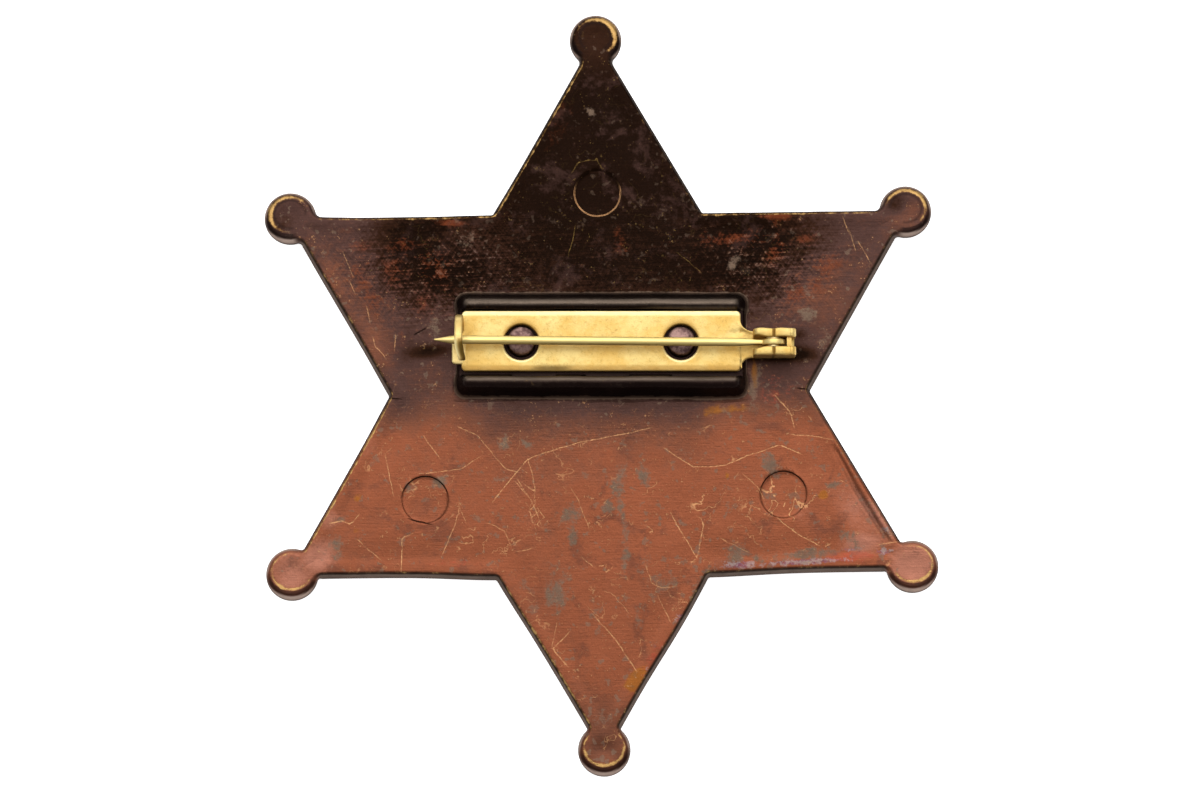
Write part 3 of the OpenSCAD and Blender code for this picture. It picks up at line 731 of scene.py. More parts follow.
def seat_height(s, x, y):
    """Height of the clasp's seat above the flat back, in the clasp's own frame.

    Each rail is a round crest along a line, whose height falls with the distance from that line:
    a quarter round, then a straight slope that is gentler at the ends. The channel between the
    rails is level, with steep ends. A soft maximum with the flat gives the hollow at the foot, and
    the grid's rim dips below the flat.
    """
    seat_l = s.plate_l + 2 * s.seat_past
    channel = s.plate_w / 2 + s.side_gap
    r = s.rail_crest_r
    rail_y, rail_z = channel + r, s.rail_h - r
    rail_x = seat_l / 2 - s.rail_end_draft / 2 - r
    corner, end_fall, side_fall = 2.6, 2.4, 2.5
    past, side = np.maximum(np.abs(x) - rail_x, 0), np.abs(np.abs(y) - rail_y)
    dist = (past ** corner + side ** corner) ** (1 / corner)
    share = np.where(dist > 1e-6, past / np.maximum(dist, 1e-6), 0) ** 2
    fall = end_fall * share + side_fall * (1 - share)
    knee = r * fall / np.sqrt(1 + fall ** 2)
    crest = np.where(dist < knee, np.sqrt(np.maximum(r * r - dist ** 2, 0)),
                     np.sqrt(np.maximum(r * r - knee ** 2, 0)) - (dist - knee) * fall)
    rails = rail_z + crest
    inner = np.abs(y) < channel + 0.02
    rails = np.where(inner, np.minimum(rails, s.floor_h - 0.4), rails)
    floor_end = (seat_l - s.seat_past) / 2
    floor = s.floor_h - np.maximum(np.abs(x) - floor_end, 0) * 4.5 - np.maximum(np.abs(y) - rail_y, 0) * 4.0
    top = soft_max(rails, floor, 0.08)
    far = np.hypot(np.maximum(np.abs(x) - seat_l / 2, 0), np.maximum(np.abs(y) - channel - s.rail_foot, 0))
    return soft_max(top, 0.0 * x, 0.28) - 0.11 * smooth(0.1, 1.0, far)


def clasp_seat(s, shell):
    """The raised seat as one height grid, closed underneath inside the star.

    The grid is fine where the seat bends, at both ends and across the rails. The rails are a little
    uneven. A painted highlight runs along the upper rail's top and the lower rail's inner side, a line
    of dust along the upper rail's inner side to the right, and the crests' tops take a little of the
    brass colour as painted highlight.
    """
    half_l, half_w = s.plate_l / 2 + s.seat_past, s.plate_w / 2 + s.side_gap + s.rail_foot
    ends = np.linspace(0, 3.4, 29)
    x = np.concatenate([-half_l - 1.0 + ends, np.linspace(-half_l + 2.6, half_l - 2.6, 56)[1:-1],
                        half_l - 2.4 + ends])
    gx, gy = np.meshgrid(x, np.linspace(-half_w - 1.0, half_w + 1.0, 107))
    z = seat_height(s, gx, gy + 0.05 * waves(gx, gy * 0.2, 9.0, 21) + 0.2 * smooth(3.2, 5.0, gy))
    z = z + 0.03 * smooth(0.3, 1.5, z) * waves(gx, gy, 2.6, 22)
    # The crests' tops take a little brass colour through the edge value, as painted highlight.
    crest = smooth(s.rail_h - 0.28, s.rail_h + 0.02, z)
    foot = smooth(0.02, 0.12, z + 0.03) * (1 - smooth(0.25, 0.9, z))
    # Painted highlight along the upper rail's top and the lower rail's inner side; the last term is a dust
    # line.
    rubbed = np.exp(-((gy - 4.1) / 0.38) ** 4) + 1.3 * bell((gy + 3.58) / 0.22)
    rubbed = rubbed * smooth(13.9, 13.3, np.abs(gx)) + 0.9 * bell((gy - 3.42) / 0.1) * smooth(3, 7, gx)
    start = len(shell.points)
    grid = np.stack([gx, gy, back_level(s) + z], -1)
    shell.grid(grid, edge=0.16 * crest, seat=smooth(0.05, 0.5, z), dust=foot, crest=rubbed)
    top = border(grid)
    low = np.column_stack([top[:, :2], np.full(len(top), back_level(s) - 0.5)])
    shell.grid(np.stack([low * [0.0, 0.0, 1.0], low, top]), ring=True)
    shell.turned((s.clasp_x, s.clasp_y), s.clasp_turn, start)


def posts(s, shell):
    """Two posts: a profile turned round an axis, tapering up through the plate to a hammered dome.

    The dome is uneven, the post is a little out of round, and its top leans to the upper side.
    """
    top = s.floor_h + s.plate_t + s.post_rise
    foot_r, top_r = s.hole_d / 2 - s.post_gap, s.post_top_d / 2
    dome = s.post_rise + s.plate_t / 3
    rise, bend = np.linspace(0, 1, 9)[1:], np.linspace(0, math.pi / 2, 12)[1:]
    r = np.concatenate([[0, foot_r], foot_r + (top_r - foot_r) * rise, top_r * np.cos(bend)])
    h = np.concatenate([[-0.2, -0.2], rise * (top - dome), top - dome + dome * np.sin(bend) ** 0.8])
    off_axis = (r > 0)[:, None]
    a = round_angles(56)
    x, y = np.multiply.outer(r, np.cos(a)), np.multiply.outer(r, np.sin(a))
    on_top = smooth(top - dome, top - 0.05, h)[:, None]
    lean = 0.34 * smooth(s.floor_h, top, h)[:, None] * off_axis
    lean[-1] = lean[-2]
    start = len(shell.points)
    for side in (-1, 1):
        z = h[:, None] + on_top * (0.05 * waves(x, y, 1.1, 31 + side) - 0.04) * off_axis
        z[-1] = z[-2].mean() + 0.005
        out = 1 + 0.03 * waves(np.cos(a), np.sin(a), 1.5, 33 + side)
        grid = np.stack([x * out + side * s.post_pitch / 2, y * out + lean, z + back_level(s)], -1)
        shell.grid(grid, ring=True, post=smooth(top - dome - 0.35, top - dome + 0.12, h)[:, None], seat=1.0)
    shell.turned((s.clasp_x, s.clasp_y), s.clasp_turn, start)


# Shapes of the clasp

def plate_level(s):
    """Height of the clasp plate's underside above the floor."""
    return back_level(s) + s.floor_h


def hinge_place(s):
    """Middle of the rivet, in the clasp's own frame."""
    return np.array([s.plate_l / 2 + s.hinge_out, s.hinge_y, plate_level(s) + s.plate_t + s.pin_rise])


def flat_shape(high, low, rows, thick, edge, base=0.0, holes=()):
    """Grids of a flat bar between a high and a low outline, both from left to right.

    Each face is made of chords between the two outlines, drawn in by the edge radius, and the rim
    is a rounded profile carried round the whole outline. Between two columns that a hole names, the
    face runs from that cell's border in rings to the hole's circle, whose rim is rounded too.
    Gives a list of grid, ring and flip.
    """
    even = np.linspace(0, 1, rows + 1)
    # Rows lie a little closer together at both outlines.
    share = 0.35 * (0.5 - 0.5 * np.cos(even * math.pi)) + 0.65 * even
    right = high[-1] + (low[-1] - high[-1]) * share[:, None]
    left = low[0] + (high[0] - low[0]) * share[:, None]
    loop = np.concatenate([high[:-1], right[:-1], low[::-1][:-1], left[:-1]])
    ahead = np.roll(loop, -1, 0) - np.roll(loop, 1, 0)
    out = np.stack([-ahead[:, 1], ahead[:, 0]], -1) / np.maximum(np.hypot(*ahead.T), 1e-9)[:, None]
    inner = loop - out * edge
    n, m = len(high), rows
    lower = inner[n - 1 + m:2 * n - 1 + m][::-1]
    face = inner[:n][None] + (lower - inner[:n])[None] * share[:, None, None]
    face[:, -1] = inner[n - 1:n + m]
    face[:, 0] = np.concatenate([inner[:1], inner[2 * n - 2 + m:][::-1]])
    turn = np.linspace(0, math.pi / 2, 4)
    # The rim's profile, from the upper face round to the lower one: how far out and how high.
    off = np.concatenate([edge * np.sin(turn), edge * np.cos(turn)])[:, None, None] - edge
    level = base + np.concatenate([thick - edge * (1 - np.cos(turn)), edge * (1 - np.sin(turn))])[:, None]
    grids = [(at_level(loop[None] + out[None] * off, level), True, False)]
    flats, start = [], 0
    for centre, radius, first, last in holes:
        flats.append((face[:, start:first + 1], False, True))
        cell = border(face[:, first:last + 1])
        away = cell - centre
        away = away / np.hypot(*away.T)[:, None]
        t = np.linspace(0, 1, 9)[:, None, None] ** 0.8
        flats.append((cell[None] * (1 - t) + (centre + away * (radius + edge))[None] * t, True, True))
        grids.append((at_level(centre + away * (radius - off), level), True, True))
        start = last
    flats.append((face[:, start:], False, True))
    for flat, ring, flip in flats:
        grids.append((at_level(flat, base + thick), ring, flip))
        grids.append((at_level(flat, base), ring, not flip))
    return grids


def at_level(flat, z):
    """Flat points lifted to a height."""
    return np.concatenate([flat, np.broadcast_to(z, flat.shape[:2])[..., None]], -1)


def sweep(middle, side, up, wide, tall, power, count=24):
    """A rounded section carried along a path: half widths and half heights for each row, and a
    superellipse whose power makes it round at 2 and nearly square at 6."""
    a = round_angles(count)
    power = np.broadcast_to(power, len(middle))[:, None]
    c = np.sign(np.cos(a)) * np.abs(np.cos(a)) ** (2 / power)
    d = np.sign(np.sin(a)) * np.abs(np.sin(a)) ** (2 / power)
    across = side[..., None, :] * (c * wide[:, None])[..., None]
    return middle[:, None] + across + up[..., None, :] * (d * tall[:, None])[..., None]


def closed_ends(path, wide, tall, cap):
    """Adds two rows at each end of a swept path that close it with a small round."""
    first, last = path[0] - path[1], path[-1] - path[-2]
    first, last = first / np.linalg.norm(first), last / np.linalg.norm(last)
    path = np.concatenate([[path[0] + first * cap] * 2, path, [path[-1] + last * cap] * 2])
    trim = [np.concatenate([[0, max(v[0] - cap, 0)], v, [max(v[-1] - cap, 0), 0]]) for v in (wide, tall)]
    return path, trim[0], trim[1]


def plate_edges(s):
    """High and low outlines of the clasp's plate, left to right: round corners, straight sides, the
    right end and the hollow corners of the neck that carries the ears."""
    r, hollow = s.plate_corner_r, s.neck_hollow_r
    end = s.plate_l / 2
    outline = []
    for side in (1, -1):
        edge = s.plate_shift + side * s.plate_w / 2
        neck = s.hinge_y + side * (s.ear_gap / 2 + s.ear_t)
        left = arc((-end + r, edge - side * r), r, math.pi, math.pi - side * math.pi / 2, 6)
        run = np.stack([np.linspace(-end + r, end - r, 77), np.full(77, edge)], -1)[1:-1]
        right = arc((end - r, edge - side * r), r, side * math.pi / 2, 0, 6)
        curve = arc((end + hollow, neck + side * hollow), hollow, math.pi, math.pi + side * math.pi / 2, 8)
        far = end + s.hinge_out + s.ear_front - 0.1
        tail = np.stack([np.linspace(end + hollow, far, 10), np.full(10, neck)], -1)[1:]
        outline.append(np.concatenate([left, run, right, curve, tail]))
    return outline


def clasp_plate(s, shell):
    """The stamped plate: flat between its outlines with two holes.

    Its top has slow waves, the pressed dent at its lower edge, and the curled burr with its crease at
    the neck. The upper edge and the holes' lower rims carry a painted highlight, and the lower edge and
    the holes' upper rims painted shade, with a wider darkening above each hole.
    """
    high, low = plate_edges(s)
    base, half_w, hole_r = plate_level(s), s.plate_w / 2, s.hole_d / 2
    middles = (-s.post_pitch / 2, s.post_pitch / 2)
    holes = []
    for x in middles:
        first, last = (int(np.argmin(np.abs(high[:, 0] - (x + d)))) for d in (-2.5, 2.5))
        holes.append((np.array([x, 0.0]), hole_r, first, last))
    for grid, ring, flip in flat_shape(high, low, 20, s.plate_t, 0.13, base, holes):
        x, y = grid[..., 0], grid[..., 1]
        top = smooth(base + 0.3, base + 0.6, grid[..., 2])
        dent = np.exp(-((x + 4.9) / 1.7) ** 4) * (1 - smooth(-2.8, -2.35, y))
        burr = bell(np.hypot((x - 14.5) / 0.45, (y - 1.6) / 0.5))
        crease = bell(np.hypot((y - 0.85 - 0.22 * (x - 13.0)) / 0.16, (x - 13.5) / 0.8))
        grid[..., 2] += top * (0.02 * waves(x, y, 5.0, 41) - 0.16 * dent + 0.4 * burr - 0.15 * crease)
        across = y - s.plate_shift
        # Painted highlight on the upper edge and the holes' lower rims, painted shade on the lower edge and
        # the holes' upper rims, with a wider darkening above each hole.
        lit = smooth(half_w - 0.7, half_w - 0.3, across) - 0.8 * smooth(0.8 - half_w, 0.4 - half_w, across)
        for middle in middles:
            r = np.maximum(np.hypot(x - middle, y), 1e-6)
            lit = lit - 1.2 * (y / r) * smooth(hole_r + 0.35, hole_r + 0.1, r)
            lit = lit - 0.55 * np.maximum(y / r, 0) * smooth(hole_r + 1.1, hole_r + 0.2, r)
        shell.grid(grid, ring=ring, flip=flip, edge=top * lit * (x < s.plate_l / 2))


def ear_side(s):
    """Side outlines of an ear: a round-cornered top with a small peened nick over the rivet, and a foot."""
    r = s.ear_corner_r
    left = arc((-s.ear_back + r, s.ear_h - r), r, math.pi, math.pi / 2, 8)
    x = np.linspace(-s.ear_back + r, s.ear_front - r, 47)[1:-1]
    run = np.stack([x, s.ear_h - 0.16 * bell(x / 0.1) - 0.03 + 0.03 * np.sin(x * 3.1)], -1)
    right = arc((s.ear_front - r, s.ear_h - r), r, math.pi / 2, 0, 8)
    high = np.concatenate([left, run, right])
    foot = -(s.plate_t + s.pin_rise) + 0.05
    return high, np.stack([np.linspace(-s.ear_back, s.ear_front, len(high)), np.full(len(high), foot)], -1)


def stand_up(grid, place):
    """Turns a flat shape upright: its second axis points up and its third towards the lower side."""
    return np.stack([grid[..., 0] + place[0], place[1] - grid[..., 2], grid[..., 1] + place[2]], -1)


def clasp_ears(s, shell):
    """Two ears bent up from the neck and the stop between them, as flat shapes stood on edge.

    The ears are hammered a little out of flat and pressed towards each other behind the eye. They are
    a little darker all over, with painted shade towards the foot and in the nick over the rivet.
    """
    high, low = ear_side(s)
    place = hinge_place(s)
    for side in (1, -1):
        first = -s.ear_gap / 2 - s.ear_t if side > 0 else s.ear_gap / 2
        for grid, ring, flip in flat_shape(high, low, 12, s.ear_t, 0.14, first):
            x, z = grid[..., 0], grid[..., 1]
            grid[..., 2] -= side * 0.05 * smooth(-0.4, 1.0, z) * waves(x, z, 2.4, 51 + side)
            pressed = (1 - smooth(-1.9, -0.7, x)) * smooth(-1.6, -0.4, z)
            grid[..., 2] -= side * 0.22 * pressed * (np.abs(grid[..., 2]) < s.ear_gap / 2 + 0.3)
            # Painted shade towards the ears' foot and in the nick over the rivet, on a slight darkening all
            # over.
            dark = 0.15 + 0.5 * smooth(0.8, 0.3, z) + 1.5 * bell(x / 0.12)
            shell.grid(stand_up(grid, place), ring=ring, flip=flip, edge=-dark)
    left = s.eye_d / 2 + s.stop_gap
    tall = np.stack([np.linspace(left, left + s.stop_t, 6), np.full(6, s.stop_h)], -1)
    foot = tall - [0, s.stop_h + s.plate_t + s.pin_rise - 0.05]
    for grid, ring, flip in flat_shape(tall, foot, 8, s.ear_gap + 0.3, 0.1, -s.ear_gap / 2 - 0.15):
        shell.grid(stand_up(grid, place), ring=ring, flip=flip, edge=0.3)


def clasp_catch(s, shell):
    """The catch: a strip of rounded section carried round the pin, slanting and narrowing towards its
    free end, with a painted highlight on one side of its bend and painted shade on the other, and the
    flat foot that it is bent up from."""
    radius = s.pin_rise + s.plate_t - s.catch_t / 2
    a = np.radians(np.linspace(-100, 180 - s.catch_lip, 70))
    end = -s.plate_l / 2
    x = end + s.catch_lap - s.catch_w / 2 + 0.34 * smooth(math.radians(95), math.radians(165), a)
    axis = hinge_place(s)[2]
    path = np.stack([x, s.catch_y + radius * np.cos(a), axis + radius * np.sin(a)], -1)
    wide = s.catch_w / 2 * (1 - 0.16 * smooth(math.radians(100), math.radians(150), a))
    path, wide, tall = closed_ends(path, wide, np.full(len(a), s.catch_t / 2), 0.1)
    a = np.concatenate([[a[0]] * 2, a, [a[-1]] * 2])
    side = np.broadcast_to([1.0, 0.0, 0.0], path.shape)
    up = np.stack([np.zeros(len(a)), np.cos(a), np.sin(a)], -1)
    # In the bend, the strip's left side carries a painted highlight and its right side painted shade.
    bend = smooth(math.radians(85), math.radians(105), a)[:, None]
    shade = 0.3 + bend * (0.5 - 2.6 * smooth(-0.3, 0.1, np.cos(round_angles(24))))
    shell.grid(sweep(path, side, up, wide, tall, 4.0), ring=True, edge=shade)
    r = s.plate_corner_r
    x = np.linspace(end - s.foot_out, end + r, 12)
    corner = np.sqrt(np.maximum(r * r - np.maximum(r - (x - x[0]), 0) ** 2, 0)) - r
    high = np.stack([x, s.catch_y + s.catch_t + corner], -1)
    low = np.stack([x, s.catch_y - s.foot_reach - corner * 0.5], -1)
    for grid, ring, flip in flat_shape(high, low, 8, s.plate_t, 0.13, plate_level(s)):
        shell.grid(grid, ring=ring, flip=flip, edge=0.5)


def pin_wire(s, shell):
    """The pin along its own line from the point to the hinge: round wire with a long taper, flattened
    towards the eye, a hair bowed upwards, with painted shade along its sides."""
    reach = s.plate_l + s.hinge_out - s.catch_lap + s.catch_w / 2 + s.pin_past
    wire = s.wire_d / 2
    d = np.concatenate([np.linspace(0, s.taper_l, 16), np.linspace(s.taper_l, reach - 4.0, 60)[1:],
                        np.linspace(reach - 4.0, reach - s.eye_d / 2 + 0.25, 20)[1:]])
    near = smooth(reach - 4.2, reach - 1.4, d)
    taper = 0.06 + (wire - 0.06) * smooth(-0.5, s.taper_l, d) ** 1.1
    wide = taper * (1 - near) + (s.eye_t / 2 - 0.02) * near
    tall = taper * (1 - near) + (wire + 0.04) * near
    path = np.stack([d - reach, np.zeros(len(d)), 0.03 * np.sin(d / reach * math.pi)], -1)
    path, wide, tall = closed_ends(path, wide, tall, 0.04)
    near = np.concatenate([[0, 0], near, [1, 1]])
    side = np.broadcast_to([0.0, 1.0, 0.0], path.shape)
    up = np.broadcast_to([0.0, 0.0, 1.0], path.shape)
    body = sweep(path, side, up, wide, tall, 2 + 2 * near, 28)
    x, y = turned(body[..., 0], body[..., 1], -math.radians(s.pin_lean))
    # Painted shade along the wire's sides: broad below, thin above.
    facing = np.cos(round_angles(28))
    tarnish = 0.15 * smooth(-0.05, -0.35, facing) + 0.8 * smooth(-0.46, -0.64, facing)
    tarnish = tarnish + 0.6 * smooth(0.75, 0.92, facing)
    shell.grid(np.stack([x, y, body[..., 2]], -1), ring=True, edge=tarnish)


def pin_eye(s, shell):
    """The pin's eye: a rounded section carried in a ring round the rivet."""
    bore = s.rivet_d / 2 + s.eye_gap
    a = np.linspace(0, 2 * math.pi, 61)
    spoke = np.stack([np.cos(a), 0 * a, np.sin(a)], -1)
    ring = spoke * (bore + s.eye_d / 2) / 2
    side = np.broadcast_to([0.0, -1.0, 0.0], ring.shape)
    wide, tall = np.full(len(a), s.eye_t / 2), np.full(len(a), (s.eye_d / 2 - bore) / 2)
    # The eye takes a little of the wire's painted side shade.
    shell.grid(sweep(ring, side, spoke, wide, tall, 4.0, 20), ring=True, edge=0.2)


def rivet_shape(s, shell):
    """The rivet: a round section carried across the ears, with peened ends and a collar by the eye."""
    half = s.ear_gap / 2 + s.ear_t
    peened, collar = np.array([0.0, 0.03, 0.12, 0.3]), [0.39, 0.4, 0.45, 0.46]
    y = np.concatenate([peened - half, collar, half - peened[::-1]])
    r = s.rivet_d / 2 * np.array([0.0, 0.82, 0.99, 1, 1, 1.16, 1.16, 1, 1, 0.99, 0.82, 0.0])
    path = np.stack([0 * y, y, 0 * y], -1)
    side = np.broadcast_to([-1.0, 0.0, 0.0], path.shape)
    up = np.broadcast_to([0.0, 0.0, 1.0], path.shape)
    shell.grid(sweep(path, side, up, r, r, 2.0, 40), ring=True)


def at_hinge(s, shell):
    """Moves what is built round the rivet's middle to the hinge, first in the clasp's frame and then in
    the star's."""
    shell.points = [points + hinge_place(s) for points in shell.points]
    shell.turned((s.clasp_x, s.clasp_y), s.clasp_turn)


# Materials

def ink(red, green, blue):
    """A colour seen on a screen, as the linear colour that the shader takes."""
    parts = [v / 255 for v in (red, green, blue)]
    return tuple(v / 12.92 if v <= 0.04045 else ((v + 0.055) / 1.055) ** 2.4 for v in parts) + (1.0,)


class Value:
    """A node's output. Python's operators on it add Math nodes, and rise adds a Map Range."""

    def __init__(self, paint, socket):
        self.paint, self.socket = paint, socket

    def math(self, operation, *others):
        """A Math node on this value and others."""
        given = dict(enumerate((self,) + others))
        return self.paint.node("ShaderNodeMath", {"operation": operation}, given)

    def __add__(self, other):
        return self.math("ADD", other)

    def __sub__(self, other):
        return self.math("SUBTRACT", other)

    def __rsub__(self, other):
        return self.paint.node("ShaderNodeMath", {"operation": "SUBTRACT"}, {0: other, 1: self})

    def __mul__(self, other):
        return self.math("MULTIPLY", other)

    def __abs__(self):
        return self.math("ABSOLUTE")

    __radd__ = __add__
    __rmul__ = __mul__

    def top(self, other):
        """The larger of two values."""
        return self.math("MAXIMUM", other)

    def rise(self, low, high):
        """0 below low and 1 above high on an S curve; from 1 to 0 where low is above high."""
        return self.paint.node("ShaderNodeMapRange", {"interpolation_type": "SMOOTHSTEP"},
                               {"Value": self, "From Min": low, "From Max": high})


class Paint:
    """A material's nodes, worked in the piece's own coordinates in millimetres."""

    def __init__(self, name):
        self.material = bpy.data.materials.new(name)
        self.material.use_nodes = True
        self.tree = self.material.node_tree
        self.tree.nodes.clear()
        self.place = self.vector("SCALE", self.node("ShaderNodeTexCoord", out="Object"), scale=1 / MM)

    def node(self, kind, settings=None, inputs=None, out=0):
        """Any node: its settings are set first, then the values or links of its sockets."""
        made = self.tree.nodes.new(kind)
        for key, value in (settings or {}).items():
            setattr(made, key, value)
        for key, value in (inputs or {}).items():
            if isinstance(value, Value):
                self.tree.links.new(value.socket, made.inputs[key])
            else:
                made.inputs[key].default_value = value
        return Value(self, made.outputs[out])

    def vector(self, operation, a, b=None, scale=None):
        """A Vector Math node on one or two vectors, or on one and a scale."""
        given = {0: a}
        if b is not None:
            given[1] = b
        if scale is not None:
            given["Scale"] = scale
        return self.node("ShaderNodeVectorMath", {"operation": operation}, given)

    def noise(self, size, detail, rough, shift=0.0, bend=0.0, place=None):
        """Soft noise whose grains are about size mm, between 0 and 1, taken from its own place by shift."""
        place = self.place if place is None else place
        if shift:
            place = self.vector("ADD", place, (shift, shift * 1.7, shift * 0.6))
        return self.node("ShaderNodeTexNoise", {}, {"Vector": place, "Scale": 1 / size, "Detail": detail,
                                                    "Roughness": rough, "Distortion": bend}, "Fac")

    def grain(self, long, wide, turn, shift):
        """Noise drawn out in one direction: grains of long by wide mm, turned by degrees."""
        place = self.node("ShaderNodeMapping", {"vector_type": "TEXTURE"},
                          {"Vector": self.place, "Location": (shift, shift * 1.7, 0.0),
                           "Rotation": (0.0, 0.0, math.radians(turn)), "Scale": (long, wide, 1.0)})
        return self.noise(1.0, 3.0, 0.6, place=place) - 0.5

    def mark(self, name):
        """A value stored at the mesh's points."""
        return self.node("ShaderNodeAttribute", {"attribute_name": name}, {}, "Fac")

    def blend(self, share, a, b):
        """The colour a where share is 0 and b where it is 1."""
        return self.node("ShaderNodeMix", {"data_type": "RGBA"}, {0: share, 6: a, 7: b}, 2)

    def ramp(self, share, stops):
        """Colours between stops, each a position and a colour."""
        made = self.node("ShaderNodeValToRGB", {}, {0: share})
        points = made.socket.node.color_ramp.elements
        while len(points) < len(stops):
            points.new(0.5)
        for point, (at, colour) in zip(points, stops):
            point.position, point.color = at, colour
        return made

    def hairs(self, size, wide, shift, much):
        """Thin curved lines where a noise crosses its middle, kept only where another noise is high."""
        line = abs(self.noise(size, 4.0, 0.5, shift, 0.4) - 0.5).rise(wide, wide * 0.3)
        return line * self.noise(size * 1.3, 2.0, 0.5, shift + 7).rise(much, much + 0.05)

    def bump(self, height, depth):
        """Fine relief of depth mm where height is 1."""
        return self.node("ShaderNodeBump", {}, {"Height": height, "Distance": depth * MM, "Strength": 1.0})

    def finish(self, **sockets):
        """Joins everything to one metallic shader; underscores in a socket's name stand for spaces."""
        inputs = {name.replace("_", " "): value for name, value in sockets.items()}
        shader = self.node("ShaderNodeBsdfPrincipled", {}, inputs)
        made = self.tree.nodes.new("ShaderNodeOutputMaterial")
        self.tree.links.new(shader.socket, made.inputs["Surface"])
        return self.material


def copper_grains(k):
    """The noises that all of the copper's finish shares, from broad clouds to fine grit, and the fine
    streaks and the leathery ridges of the casting."""
    leather = k.grain(2.0, 0.26, 2.0, 5.0) + k.grain(1.1, 0.26, 58.0, 9.0) * 0.8
    leather = (leather + k.grain(1.1, 0.26, -48.0, 13.0) * 0.8) * k.mark("streak")
    return SimpleNamespace(broad=k.noise(9.0, 4.0, 0.6, 3.0), mid=k.noise(1.9, 5.0, 0.62, 11.0, 0.3),
                           fine=k.noise(0.55, 4.0, 0.65, 17.0), grit=k.noise(0.2, 2.0, 0.6, 23.0),
                           weave=k.grain(2.6, 0.14, 0.0, 2.0), leather=leather)


def copper_tarnish_and_painted_light(k, c, n):
    """The tarnish, with the painted reflection and painted shadows that the lightness carries: a ramp from
    black to copper by lightness, with an orange glow, black pits and grey ridges in the leathery parts,
    rubbed haze and mauve clouds. Gives the lightness and colour."""
    tone = k.mark("tone")
    tone = tone + (n.broad - 0.5) * 0.4 * (tone + 0.35) + (n.mid - 0.5) * 0.42 * (tone * 0.7 + 0.25)
    tone = tone + n.leather * 1.5 + (n.fine - 0.5) * 0.34 * (tone * 0.6 + 0.4)
    tone = tone + n.weave * 0.1 + (n.grit - 0.5) * 0.14
    # The lightness holds painted reflection and painted shadows as well as tarnish.
    base = k.ramp(tone, [(0.0, c.black), (0.25, c.umber), (0.5, c.mauve), (0.76, c.brown), (1.0, c.copper)])
    glow = k.mark("rust") * 1.1 + n.leather * 2.2 + (n.mid - 0.5) * 1.2 + (n.fine - 0.5) * 0.8
    base = k.blend(glow.rise(0.3, 1.1) * 0.75, base, c.rust)
    pit = (n.leather * -3.0 + (n.fine - 0.5) * 0.8).rise(0.3, 0.7)
    base = k.blend(pit * 0.7, base, c.black)
    ridge = (n.leather * 3.0 + (n.grit - 0.5) * 0.6).rise(0.4, 0.7)
    base = k.blend(ridge * 0.3, base, c.grime)
    haze = (k.mark("haze") + (n.mid - 0.5) * 0.7 + (n.grit - 0.5) * 0.3).rise(0.2, 0.9)
    base = k.blend(haze * 0.75, base, c.haze)
    shade = (k.noise(3.6, 4.0, 0.6, 41.0, 0.6) + (n.fine - 0.5) * 0.4).rise(0.53, 0.7)
    base = k.blend(shade * 0.4, base, c.mauve)
    return tone, base


def copper_stains(k, c, n, tone, base):
    """Grey stains and dots, and ochre, red, violet and blue tarnish. Gives the stain's share and the
    colour."""
    stain = (k.mark("grime") + (n.mid - 0.5) * 1.4 + (n.fine - 0.5) * 1.5).rise(0.38, 0.9)
    lower = tone.rise(0.0, 0.7)
    dots = (k.noise(0.9, 2.0, 0.5, 53.0) + (n.broad - 0.5) * 0.3).rise(0.65, 0.7) * 0.55
    dots = dots.top((k.noise(2.2, 3.0, 0.6, 83.0) + (n.fine - 0.5) * 0.6).rise(0.64, 0.74) * 0.45)
    stain = stain.top(dots * (0.25 + lower * 0.75))
    base = k.blend(stain * (n.fine * 1.0 + n.grit * 0.7), base, c.grime)
    ochre = (k.mark("ochre") + (n.mid - 0.5) * 1.3 + (n.fine - 0.5) * 0.5).rise(0.4, 0.75)
    base = k.blend(ochre * 0.6, base, c.ochre)
    blush = (k.mark("blush") + (n.fine - 0.5) * 1.6 + (n.grit - 0.5) * 0.6).rise(0.35, 0.8)
    base = k.blend(blush * 0.4, base, c.blush)
    violet = (k.mark("violet") + (n.fine - 0.5) * 1.6 + (n.grit - 0.5)).rise(0.4, 0.85)
    base = k.blend(violet * 0.5, base, k.blend(n.fine.rise(0.42, 0.58), c.violet, c.pale_blue))
    return stain, base


def copper_seat(k, c, n, base):
    """The clasp's dark seat with the painted highlight and the dust line along its rails, the dust at its
    foot and the hammered posts. The seat's dark also serves as painted shade on the ball tips and walls.
    """
    # The seat value also carries painted shade on the ball tips and the walls.
    base = k.blend(k.mark("seat") * 0.85, base, k.blend(n.mid, c.seat_dark, c.seat_grey))
    # Painted highlight along the rails' crests, and the dust line beside the upper rail.
    base = k.blend(k.mark("crest") * (0.5 + n.fine), base, c.crest_highlight_and_dust)
    dust = (k.mark("dust") * 1.1 + (n.mid - 0.5) * 1.3 + (n.fine - 0.5)).rise(0.55, 0.95)
    base = k.blend(dust * 0.6, base, c.grime)
    hammered = k.blend((n.mid * 0.4 + n.fine * 0.6).rise(0.4, 0.6), c.post_dark, c.post_pale)
    base = k.blend(k.mark("post"), base, hammered)
    return base


